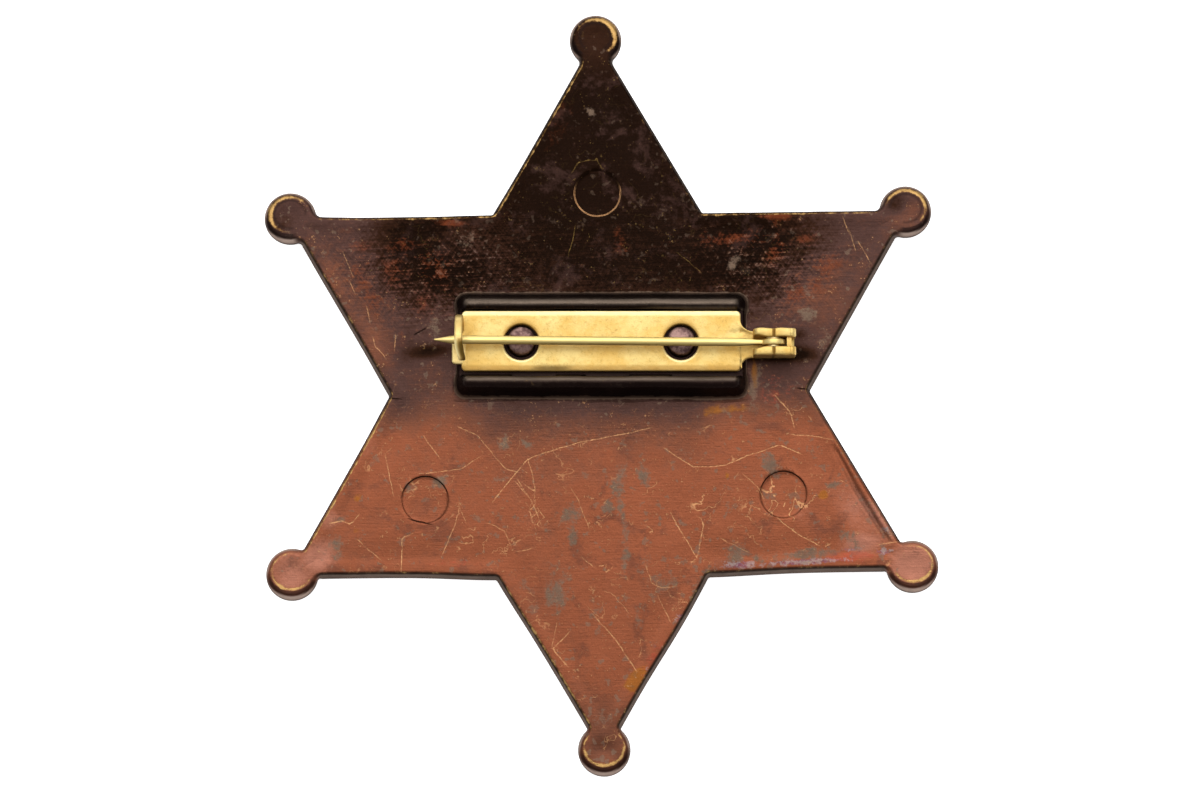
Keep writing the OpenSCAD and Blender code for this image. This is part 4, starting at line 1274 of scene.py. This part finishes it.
def copper_scratches(k, c, n, tone, base):
    """Scratches along given lines, hairlines and specks by noise, the marks' circles with their painted
    highlight and painted shade line, and the cracks. Gives the shares of the scratches and of the cracks
    with the marks' shade lines, and the colour."""
    wobble = (n.mid - 0.5) * 0.3 + (n.fine - 0.5) * 0.18
    cut = abs(k.mark("cut_a") + wobble).rise(0.072, 0.028) * k.mark("cut_a_near")
    cut = cut.top(abs(k.mark("cut_b") + wobble).rise(0.062, 0.025) * k.mark("cut_b_near") * 0.8)
    cut = cut.top(abs(k.mark("cut_c") + wobble * 1.3).rise(0.062, 0.025) * k.mark("cut_c_near") * 0.8)
    hair = k.hairs(4.2, 0.008, 1.0, 0.56).top(k.hairs(2.7, 0.009, 31.0, 0.59) * 0.8)
    hair = hair.top(k.hairs(1.2, 0.016, 61.0, 0.63) * 0.8)
    specks = (n.grit * 0.6 + n.fine * 0.6 + (n.mid - 0.5) * 0.3).rise(0.745, 0.8)
    flat = 1 - k.mark("seat").top(k.mark("wall"))
    cut = cut * (0.12 + (n.fine * 0.6 + n.grit * 0.4).rise(0.4, 0.6) * 0.8)
    hair = hair * (0.3 + n.broad.rise(0.4, 0.7) * 0.45) * (0.2 + tone.rise(0.5, 0.95) * 0.8)
    cut = cut.top(hair * flat).top(specks * 0.5 * flat)
    base = k.blend(cut * 0.85, base, k.blend(tone.rise(0.1, 0.6), c.dark_cut, c.pale_cut_and_highlight))
    # The marks' circles: a painted highlight in the pale scratch colour, and a painted shade line in black,
    # joined to the cracks.
    ring = abs(k.mark("mark") + (n.fine - 0.5) * 0.08).rise(0.1, 0.04)
    lit = k.mark("mark_lit")
    base = k.blend(ring * lit.rise(0.0, 0.8) * 0.8, base, c.pale_cut_and_highlight)
    crack = abs(k.mark("crack") + wobble * 0.6).rise(0.09, 0.04) * k.mark("crack_near")
    crack = crack.top(ring * lit.rise(0.0, -0.9))
    base = k.blend(crack * 0.85, base, c.black)
    return cut, crack, base


def antique_copper(c):
    """Copper plating, darkened and worn: nearly black at the top, mauve on the upper arms and copper
    brown below, partly as tarnish and partly as a painted reflection, with painted shadows of the clasp,
    stains, mottling, casting streaks, scratches, brass on the edges that is partly painted highlight,
    walls painted dark as shade and pale ball sides as a painted reflection."""
    k = Paint("antique_copper")
    n = copper_grains(k)
    tone, base = copper_tarnish_and_painted_light(k, c, n)
    stain, base = copper_stains(k, c, n, tone, base)
    base = copper_seat(k, c, n, base)
    cut, crack, base = copper_scratches(k, c, n, tone, base)
    # The side wall: near black streaks as painted shade, lifted by the rim value to a pale painted
    # reflection on the balls' sides and painted light on the wall's lower band.
    side = (n.weave * 0.5 + (n.mid - 0.5) * 0.8 + (n.fine - 0.5) * 0.5).rise(-0.3, 0.3)
    side = k.blend(side, c.wall_shade_dark, c.wall_shade_pale)
    side = k.blend(k.mark("rim") * (0.5 + n.mid * 0.8), side, c.ball_side_reflection)
    base = k.blend(k.mark("wall"), base, side)
    base = k.blend(k.mark("front"), base, k.blend(n.mid + n.leather, c.mauve, c.brown))
    # The edge value is partly worn brass and partly painted highlight, on the ball rings and the rails'
    # crests.
    wear = (k.mark("edge") * 1.2 + (n.mid - 0.5) * 0.9 + (n.fine - 0.5) * 1.3).rise(0.38, 0.98)
    brass = k.blend((wear * 0.5 + n.mid + (n.fine - 0.5)).rise(0.5, 1.15), c.wear_and_highlight_dull, c.wear_and_highlight_bright)
    base = k.blend(wear * 0.9, base, brass)
    rough = 0.42 + (n.mid - 0.5) * 0.3 + (n.fine - 0.5) * 0.2 + stain * 0.2 - wear * 0.14
    height = n.mid * 0.4 + n.fine * 0.4 + n.grit * 0.25 + n.leather * 2.5 + n.weave * 0.3
    height = height - cut * 0.3 - crack * 0.5
    return k.finish(Base_Color=base, Roughness=rough, Metallic=1 - k.mark("wall"), Specular_IOR_Level=0.0,
                    Coat_Weight=c.lacquer, Coat_Roughness=0.18, Normal=k.bump(height, 0.05))


def satin_brass(c):
    """Stamped sheet brass: pale and satin, with a fine grain and smudges, and painted highlight and painted
    shade by the edge value.
    """
    k = Paint("satin_brass")
    mid, fine = k.noise(2.4, 4.0, 0.6, 5.0), k.noise(0.35, 3.0, 0.6, 9.0)
    grit = k.noise(0.16, 2.0, 0.6, 13.0)
    edge = k.mark("edge")
    base = k.blend(mid.rise(0.3, 0.7), c.brass_shade, c.brass)
    base = k.blend((fine * 0.5 + grit * 0.5).rise(0.5, 0.7) * 0.4, base, c.brass_grain_and_shade)
    # Painted shade where the edge value is below zero, in the grain's brown.
    base = k.blend((edge + (fine - 0.5) * 0.6).rise(-0.1, -0.8) * 0.7, base, c.brass_grain_and_shade)
    # Deeper painted shade: the holes' upper rims, the ears' foot and nick and the catch's bend.
    base = k.blend(edge.rise(-1.0, -1.8) * 0.85, base, c.brass_painted_shade)
    # Painted highlight: the plate's upper edge, the holes' lower rims, the lit side of the catch's bend,
    # and a little over the catch, its foot and the stop.
    base = k.blend(edge.rise(0.1, 0.9) * 0.6, base, c.brass_highlight)
    rough = 0.46 + (fine - 0.5) * 0.2
    height = fine + mid * 0.6 + grit * 0.4
    return k.finish(Base_Color=base, Roughness=rough, Metallic=1.0, Normal=k.bump(height, 0.02))


def bright_brass(c):
    """Drawn and polished brass wire with faint lengthwise lines and painted shade along its sides."""
    k = Paint("bright_brass")
    lines = k.noise(0.3, 3.0, 0.6, 4.0, place=k.vector("MULTIPLY", k.place, (0.05, 1.0, 1.0)))
    base = k.blend(lines, c.wire_shade, c.wire)
    # Painted shade along the wire's sides and a little on the eye.
    base = k.blend(k.mark("edge") * (0.5 + lines * 0.5), base, c.wire_side_shade)
    return k.finish(Base_Color=base, Roughness=0.4 + lines * 0.1, Metallic=1.0, Normal=k.bump(lines, 0.008))


def floor_paper(c):
    """Plain matt paper."""
    k = Paint("pale_paper")
    return k.finish(Base_Color=ink(250, 250, 250), Roughness=0.9, Emission_Color=(1.0, 1.0, 1.0, 1.0),
                    Emission_Strength=c.glow)


# Settings, operators and panel

def length(name, description, value):
    """A length property: its default is given in millimetres and kept in metres."""
    return FloatProperty(name=name, description=description, default=value * MM, min=0.0,
                         unit="LENGTH", precision=5)


class BadgeSizes(bpy.types.PropertyGroup):
    """Sizes of the star casting and of the clasp on its back."""

    tip_centres: length("Across ball tips", "Distance between the centres of two opposite ball tips", 71.1)
    point_overrun: length("Point overrun",
                          "How far each point's straight edges run on past its ball's centre", 0.75)
    star_t: length("Thickness", "Thickness of the star at its rim", 2.4)
    wall_draft: length("Wall slope", "Slope of the side wall, measured outwards from back to front", 0.25)
    back_edge_r: length("Back edge", "Rounding of the worn edge round the back", 0.36)
    front_edge_r: length("Front edge", "Rounding of the edge round the front", 0.35)
    rim_w: length("Front rim width", "Width of the plain raised rim on the front", 1.5)
    rim_h: length("Front rim height", "Height of that rim above the front field", 0.5)
    notch_r: length("Notch hollow", "Radius in the notches between two points", 0.3)
    neck_r: length("Neck hollow", "Radius where a point meets its ball tip", 0.6)
    ball_d: length("Ball diameter", "Diameter of each ball tip", 5.2)
    ball_edge_r: length("Ball edge", "Rounding between a ball's flat back and its side", 0.7)
    mark_d: length("Mark diameter", "Diameter of each round mark left by the mould", 4.6)
    mark_depth: length("Mark depth", "Depth of each round mark", 0.12)
    mark_reach: length("Mark reach", "Distance of the marks from the star's centre", 20.4)
    clasp_y: length("Clasp height", "Height of the clasp's middle above the star's centre", 4.75)
    clasp_x: length("Clasp side", "Sideways place of the clasp's middle", 0.2)
    clasp_turn: FloatProperty(name="Clasp turn", description="Turn of the whole clasp against the star",
                              default=math.radians(-0.75), unit="ROTATION")
    floor_h: length("Channel floor", "Height of the channel's floor above the star's back", 1.2)
    rail_h: length("Rail height", "Height of the two rails above the star's back", 2.4)
    rail_foot: length("Rail foot", "Width of each rail at its foot", 2.14)
    rail_crest_r: length("Rail crest", "Radius of each rail's rounded crest", 0.7)
    rail_end_draft: length("Rail end", "How far a rail's end stands back from its foot", 1.2)
    side_gap: length("Plate gap", "Mean gap between the plate's long edges and the rails", 0.2)
    seat_past: length("Seat overrun", "How far the seat runs past each end of the plate", 0.55)
    plate_shift: length("Plate shift", "How far the plate lies from the channel's centre line", 0.15)
    plate_l: length("Plate length", "Length of the clasp's plate", 27.7)
    plate_w: length("Plate width", "Width of the clasp's plate", 6.05)
    plate_t: length("Plate thickness", "Thickness of the clasp's plate", 0.8)
    plate_corner_r: length("Plate corners", "Radius of the plate's corners", 0.5)
    neck_hollow_r: length("Plate neck", "Radius of the hollow corners between plate and ears", 1.1)
    hole_d: length("Hole diameter", "Diameter of the two post holes", 3.5)
    post_pitch: length("Post pitch", "Distance between the two posts", 15.85)
    post_top_d: length("Post top", "Diameter of a post's domed top", 2.75)
    post_rise: length("Post rise", "Height of a post's top above the plate", 0.25)
    post_gap: length("Post gap", "Gap round the foot of each post in its hole", 0.1)
    catch_w: length("Catch width", "Width of the catch's strip", 0.8)
    catch_t: length("Catch thickness", "Thickness of the catch's strip", 0.6)
    catch_lap: length("Catch lap", "How far the strip stands over the plate's end", 0.25)
    catch_y: length("Catch height", "Height of the catch's middle above the clasp's centre line", 0.1)
    foot_reach: length("Foot reach", "Reach of the catch's foot towards its mouth", 2.25)
    foot_out: length("Foot out", "How far the catch's foot stands out past the plate", 0.95)
    pin_rise: length("Pin rise", "Height of the pin's axis above the plate", 1.65)
    wire_d: length("Wire diameter", "Diameter of the pin's wire", 0.85)
    taper_l: length("Point length", "Length of the pin's tapered point", 2.1)
    pin_past: length("Pin overrun", "Length of the pin past the middle of the catch", 2.45)
    eye_d: length("Eye diameter", "Diameter of the pin's flattened eye", 2.4)
    eye_t: length("Eye thickness", "Thickness of the pin's flattened eye", 0.6)
    eye_gap: length("Eye gap", "Gap round the rivet in the eye", 0.06)
    rivet_d: length("Rivet diameter", "Diameter of the rivet", 1.3)
    hinge_out: length("Hinge out", "Distance from the plate's end to the hinge's axis", 3.2)
    ear_t: length("Ear thickness", "Thickness of each ear", 0.85)
    ear_gap: length("Ear gap", "Gap between the two ears", 0.95)
    ear_back: length("Ear back", "Reach of the ears towards the plate", 2.0)
    ear_front: length("Ear front", "Reach of the ears away from the plate", 2.2)
    ear_h: length("Ear height", "Height of the ears above the hinge's axis", 1.15)
    ear_corner_r: length("Ear corners", "Radius of the ears' upper corners", 0.5)
    stop_t: length("Stop thickness", "Thickness of the stop behind the eye", 0.45)
    stop_h: length("Stop height", "Height of the stop above the hinge's axis", 0.6)
    stop_gap: length("Stop gap", "Gap between the eye and the stop", 0.1)


# The hinge's height above the clasp's centre line in mm, how far the catch stops short of a half
# round, and how far the pin leans off the plate's length, both in degrees.
HINGE_Y, CATCH_LIP, PIN_LEAN = -0.2, 25, 0.5


def sizes(context):
    """The sizes of the settings as plain numbers, lengths in millimetres."""
    group = context.scene.badge_sizes
    lengths = [name for name in BadgeSizes.__annotations__ if name != "clasp_turn"]
    found = SimpleNamespace(**{name: getattr(group, name) / MM for name in lengths})
    found.clasp_turn, found.hinge_y = group.clasp_turn, HINGE_Y
    found.catch_lip, found.pin_lean = CATCH_LIP, PIN_LEAN
    return found


def colour(name, description, red, green, blue):
    """A colour property, given as the colour seen on a screen."""
    return FloatVectorProperty(name=name, description=description, default=ink(red, green, blue), size=4,
                               subtype="COLOR", min=0.0, max=1.0)


class BadgeColours(bpy.types.PropertyGroup):
    """Colours of the darkened copper and of the brass."""

    black: colour("Black", "Darkest tarnish", 21, 10, 5)
    umber: colour("Umber", "Dark brown tarnish", 44, 25, 16)
    mauve: colour("Mauve", "Grey violet tarnish", 68, 47, 42)
    brown: colour("Brown", "Brown tarnish", 102, 62, 46)
    copper: colour("Copper", "Lightest copper brown", 128, 72, 49)
    rust: colour("Rust", "Orange brown glow in the mottled parts", 104, 50, 28)
    haze: colour("Haze", "Pink haze of rubbed copper", 158, 106, 88)
    grime: colour("Grime", "Grey brown stains", 122, 101, 85)
    ochre: colour("Ochre", "Yellow orange stains", 140, 86, 24)
    blush: colour("Blush", "Red tarnish", 150, 60, 46)
    violet: colour("Violet", "Violet tarnish", 84, 54, 92)
    pale_blue: colour("Pale blue", "Pale blue tarnish", 152, 142, 140)
    # The seat's own dark, also used as painted shade on the ball tips and the walls.
    seat_dark: colour("Seat dark", "Darkest colour of the clasp's seat", 16, 9, 8)
    seat_grey: colour("Seat grey", "Greyest colour of the clasp's seat", 30, 22, 21)
    # Painted highlight along the rails' crests, and their dust line.
    crest_highlight_and_dust: colour("Seat crest", "Rubbed crests of the seat's rails", 98, 85, 74)
    post_dark: colour("Post dark", "Dark of the posts' hammered tops", 84, 62, 60)
    post_pale: colour("Post pale", "Pale of the posts' hammered tops", 150, 120, 112)
    dark_cut: colour("Scratch in the dark", "Scratches where the finish is dark", 112, 88, 46)
    # Also the painted highlight on the marks' circles.
    pale_cut_and_highlight: colour("Scratch in the copper", "Scratches where the finish is copper brown", 200, 150, 104)
    # The side wall's near black, painted shade.
    wall_shade_dark: colour("Wall dark", "Dark streaks of the side wall", 26, 18, 14)
    wall_shade_pale: colour("Wall pale", "Pale streaks of the side wall", 58, 46, 38)
    # A painted reflection of the pale surroundings on the ball tips' sides and the wall's lower band.
    ball_side_reflection: colour("Pale side", "Grey mauve of the ball tips' sides", 172, 150, 138)
    # Worn brass, also used as painted highlight on the ball rings and the rails' crests.
    wear_and_highlight_dull: colour("Worn dark", "Worn edges where the brass is dull", 112, 80, 42)
    wear_and_highlight_bright: colour("Worn pale", "Worn edges where the brass is bright", 174, 138, 84)
    lacquer: FloatProperty(name="Lacquer", description="Share of clear lacquer left on the copper",
                           default=0.015, min=0.0, max=1.0, subtype="FACTOR")
    brass: colour("Brass", "The clasp's sheet brass", 217, 192, 125)
    brass_shade: colour("Brass shade", "Smudged brass", 207, 169, 93)
    # Painted shade in the clasp's bends, nick and hole rims.
    brass_painted_shade: colour("Brass dark", "Tarnish in the clasp's bends", 92, 70, 22)
    # Also the painted shade of the plate's lower edge and the ears.
    brass_grain_and_shade: colour("Brass stain", "Fine brown grain in the brass", 160, 122, 60)
    # Painted highlight on the brass.
    brass_highlight: colour("Brass edge", "Rubbed edges of the brass", 255, 240, 180)
    wire: colour("Wire", "Polished wire", 255, 238, 168)
    wire_shade: colour("Wire shade", "Drawing lines in the wire", 226, 192, 108)
    # Painted shade along the wire's sides.
    wire_side_shade: colour("Wire edge", "Tarnish along the wire's sides", 100, 74, 26)


class StudioSettings(bpy.types.PropertyGroup):
    """Light of the studio."""

    key_power: FloatProperty(name="Light power", description="Power of each of the two soft lights",
                             default=4.5, min=0.0, unit="POWER")
    key_size: FloatProperty(name="Light size", description="Side of each soft light",
                            default=0.9, min=0.01, unit="LENGTH")
    back_power: FloatProperty(name="Back light power",
                              description="Power of the large soft panel behind the badge",
                              default=5.0, min=0.0, unit="POWER")
    back_size: FloatProperty(name="Back light size", description="Side of that panel",
                             default=1.2, min=0.01, unit="LENGTH")
    room: FloatProperty(name="Room light", description="Strength of the light from all round",
                        default=0.5, min=0.0)
    room_tint: FloatVectorProperty(name="Room colour", description="Colour of the light from all round",
                                   default=(1.0, 1.0, 1.0), subtype="COLOR", min=0.0, max=1.0)
    glow: FloatProperty(name="Floor glow",
                        description="Light that the paper gives from below, which hides soft shadows",
                        default=0.8, min=0.0)


class BADGE_OT_star(bpy.types.Operator):
    """Builds the star casting with its ball tips, seat and posts"""

    bl_idname = "badge.star"
    bl_label = "Star casting"

    def execute(self, context):
        s = sizes(context)
        shell = Shell("edge", "wall", "rim", "front", "seat", "crest", "dust", "post", "mark", "mark_lit")
        for part in (star_back, star_walls, star_front, ball_fronts, clasp_seat, posts):
            part(s, shell)
        shell.points = [casting_bow(p) for p in shell.points]
        made = shell.piece("star_back_and_seat", antique_copper(context.scene.badge_colours), sharp=45)
        lay_values(made.data, finish_values)
        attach(made, "badge")
        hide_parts("star_casting")
        return {"FINISHED"}


class BADGE_OT_clasp(bpy.types.Operator):
    """Builds the brass plate with its catch and ears"""

    bl_idname = "badge.clasp"
    bl_label = "Clasp plate"

    def execute(self, context):
        s = sizes(context)
        shell = Shell("edge")
        for part in (clasp_plate, clasp_ears, clasp_catch):
            part(s, shell)
        shell.turned((s.clasp_x, s.clasp_y), s.clasp_turn)
        made = shell.piece("clasp_bar", satin_brass(context.scene.badge_colours), sharp=50)
        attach(made, "badge")
        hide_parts("clasp_plate")
        return {"FINISHED"}


class BADGE_OT_pin(bpy.types.Operator):
    """Builds the pin and its rivet"""

    bl_idname = "badge.pin"
    bl_label = "Pin and rivet"

    def execute(self, context):
        s = sizes(context)
        wire, sheet = bright_brass(context.scene.badge_colours), bpy.data.materials["satin_brass"]
        rows = (((pin_wire, pin_eye), "pin_needle", "pin", "pin_wire", "bright_brass", wire),
                ((rivet_shape,), "rivet_core", "rivet", "hinge_rivet", "satin_brass", sheet))
        for parts, name, body, node, slot, material in rows:
            shell = Shell("edge")
            for part in parts:
                part(s, shell)
            at_hinge(s, shell)
            made = shell.piece(name, material, sharp=50)
            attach(made, body)
            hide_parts(node)
        return {"FINISHED"}


# The studio

# Half the paper's side and its height, in mm.
PAPER_HALF, PAPER_Z = 1500, -0.01

# The soft lights: name, which of the two kinds in the settings, and place in metres.
LAMPS = (("light_left", "key", (-0.36, 0.34, 1.15)), ("light_right", "key", (0.42, 0.36, 1.1)),
         ("light_back", "back", (0.0, 1.05, 0.8)))

# The camera that took the photo: its place in metres and its turn in degrees, then its lens and the
# width of its picture in mm.
CAMERA_PLACE, CAMERA_TURN = (0.003659, -0.043307, 0.420824), (5.807, 0.572, -0.699)
CAMERA_LENS, PICTURE_WIDTH = 126.52, 36.0


def paper_floor(light):
    """A wide flat sheet of paper, a hair below the badge."""
    side = np.linspace(-PAPER_HALF, PAPER_HALF, 9)
    x, y = np.meshgrid(side, side)
    shell = Shell()
    shell.grid(np.stack([x, y, np.full_like(x, PAPER_Z)], -1))
    shell.piece("paper_floor", floor_paper(light))


def soft_light(name, place, size, power):
    """A square soft light at a place, pointing at the badge."""
    data = bpy.data.lights.new(name, "AREA")
    data.size, data.energy = size, power
    lamp = bpy.data.objects.new(name, data)
    lamp.location = place
    lamp.rotation_euler = (-lamp.location).to_track_quat("-Z", "Y").to_euler()
    bpy.context.scene.collection.objects.link(lamp)


def room_light(scene, light):
    """Even light from all round."""
    world = bpy.data.worlds.new("room")
    world.use_nodes = True
    back = world.node_tree.nodes["Background"]
    back.inputs["Color"].default_value = (*light.room_tint, 1.0)
    back.inputs["Strength"].default_value = light.room
    scene.world = world
    scene.view_settings.view_transform = "Standard"


def photo_camera(scene):
    """The camera, set as the photo was taken."""
    data = bpy.data.cameras.new("photo_camera")
    data.sensor_width, data.lens = PICTURE_WIDTH, CAMERA_LENS
    data.clip_start, data.clip_end = 0.01, 20.0
    camera = bpy.data.objects.new("photo_camera", data)
    camera.location = CAMERA_PLACE
    camera.rotation_euler = Euler([math.radians(v) for v in CAMERA_TURN])
    scene.collection.objects.link(camera)
    scene.camera = camera


class BADGE_OT_studio(bpy.types.Operator):
    """Builds the pale floor, the soft lights and the camera"""

    bl_idname = "badge.studio"
    bl_label = "Studio"

    def execute(self, context):
        light = context.scene.badge_studio
        paper_floor(light)
        for name, kind, place in LAMPS:
            soft_light(name, place, getattr(light, kind + "_size"), getattr(light, kind + "_power"))
        room_light(context.scene, light)
        photo_camera(context.scene)
        return {"FINISHED"}


class BADGE_PT_panel(bpy.types.Panel):
    """Lists the badge's pieces in the sidebar"""

    bl_idname = "BADGE_PT_panel"
    bl_label = "Sheriff star badge"
    bl_space_type = "VIEW_3D"
    bl_region_type = "UI"
    bl_category = "Badge"

    def draw(self, context):
        for operator in STEPS:
            self.layout.operator(operator)
        for group in (context.scene.badge_sizes, context.scene.badge_colours, context.scene.badge_studio):
            for name in group.__annotations__:
                self.layout.prop(group, name)


STEPS = ("badge.star", "badge.clasp", "badge.pin", "badge.studio")
CLASSES = (BadgeSizes, BadgeColours, StudioSettings, BADGE_OT_star, BADGE_OT_clasp, BADGE_OT_pin,
           BADGE_OT_studio, BADGE_PT_panel)


def register():
    for item in CLASSES:
        bpy.utils.register_class(item)
    bpy.types.Scene.badge_sizes = PointerProperty(type=BadgeSizes)
    bpy.types.Scene.badge_colours = PointerProperty(type=BadgeColours)
    bpy.types.Scene.badge_studio = PointerProperty(type=StudioSettings)


def unregister():
    del bpy.types.Scene.badge_studio
    del bpy.types.Scene.badge_colours
    del bpy.types.Scene.badge_sizes
    for item in reversed(CLASSES):
        bpy.utils.unregister_class(item)


def main():
    """Builds every piece and the studio."""
    register()
    for step in STEPS:
        group, name = step.split(".")
        getattr(getattr(bpy.ops, group), name)()


if __name__ == "__main__":
    main()
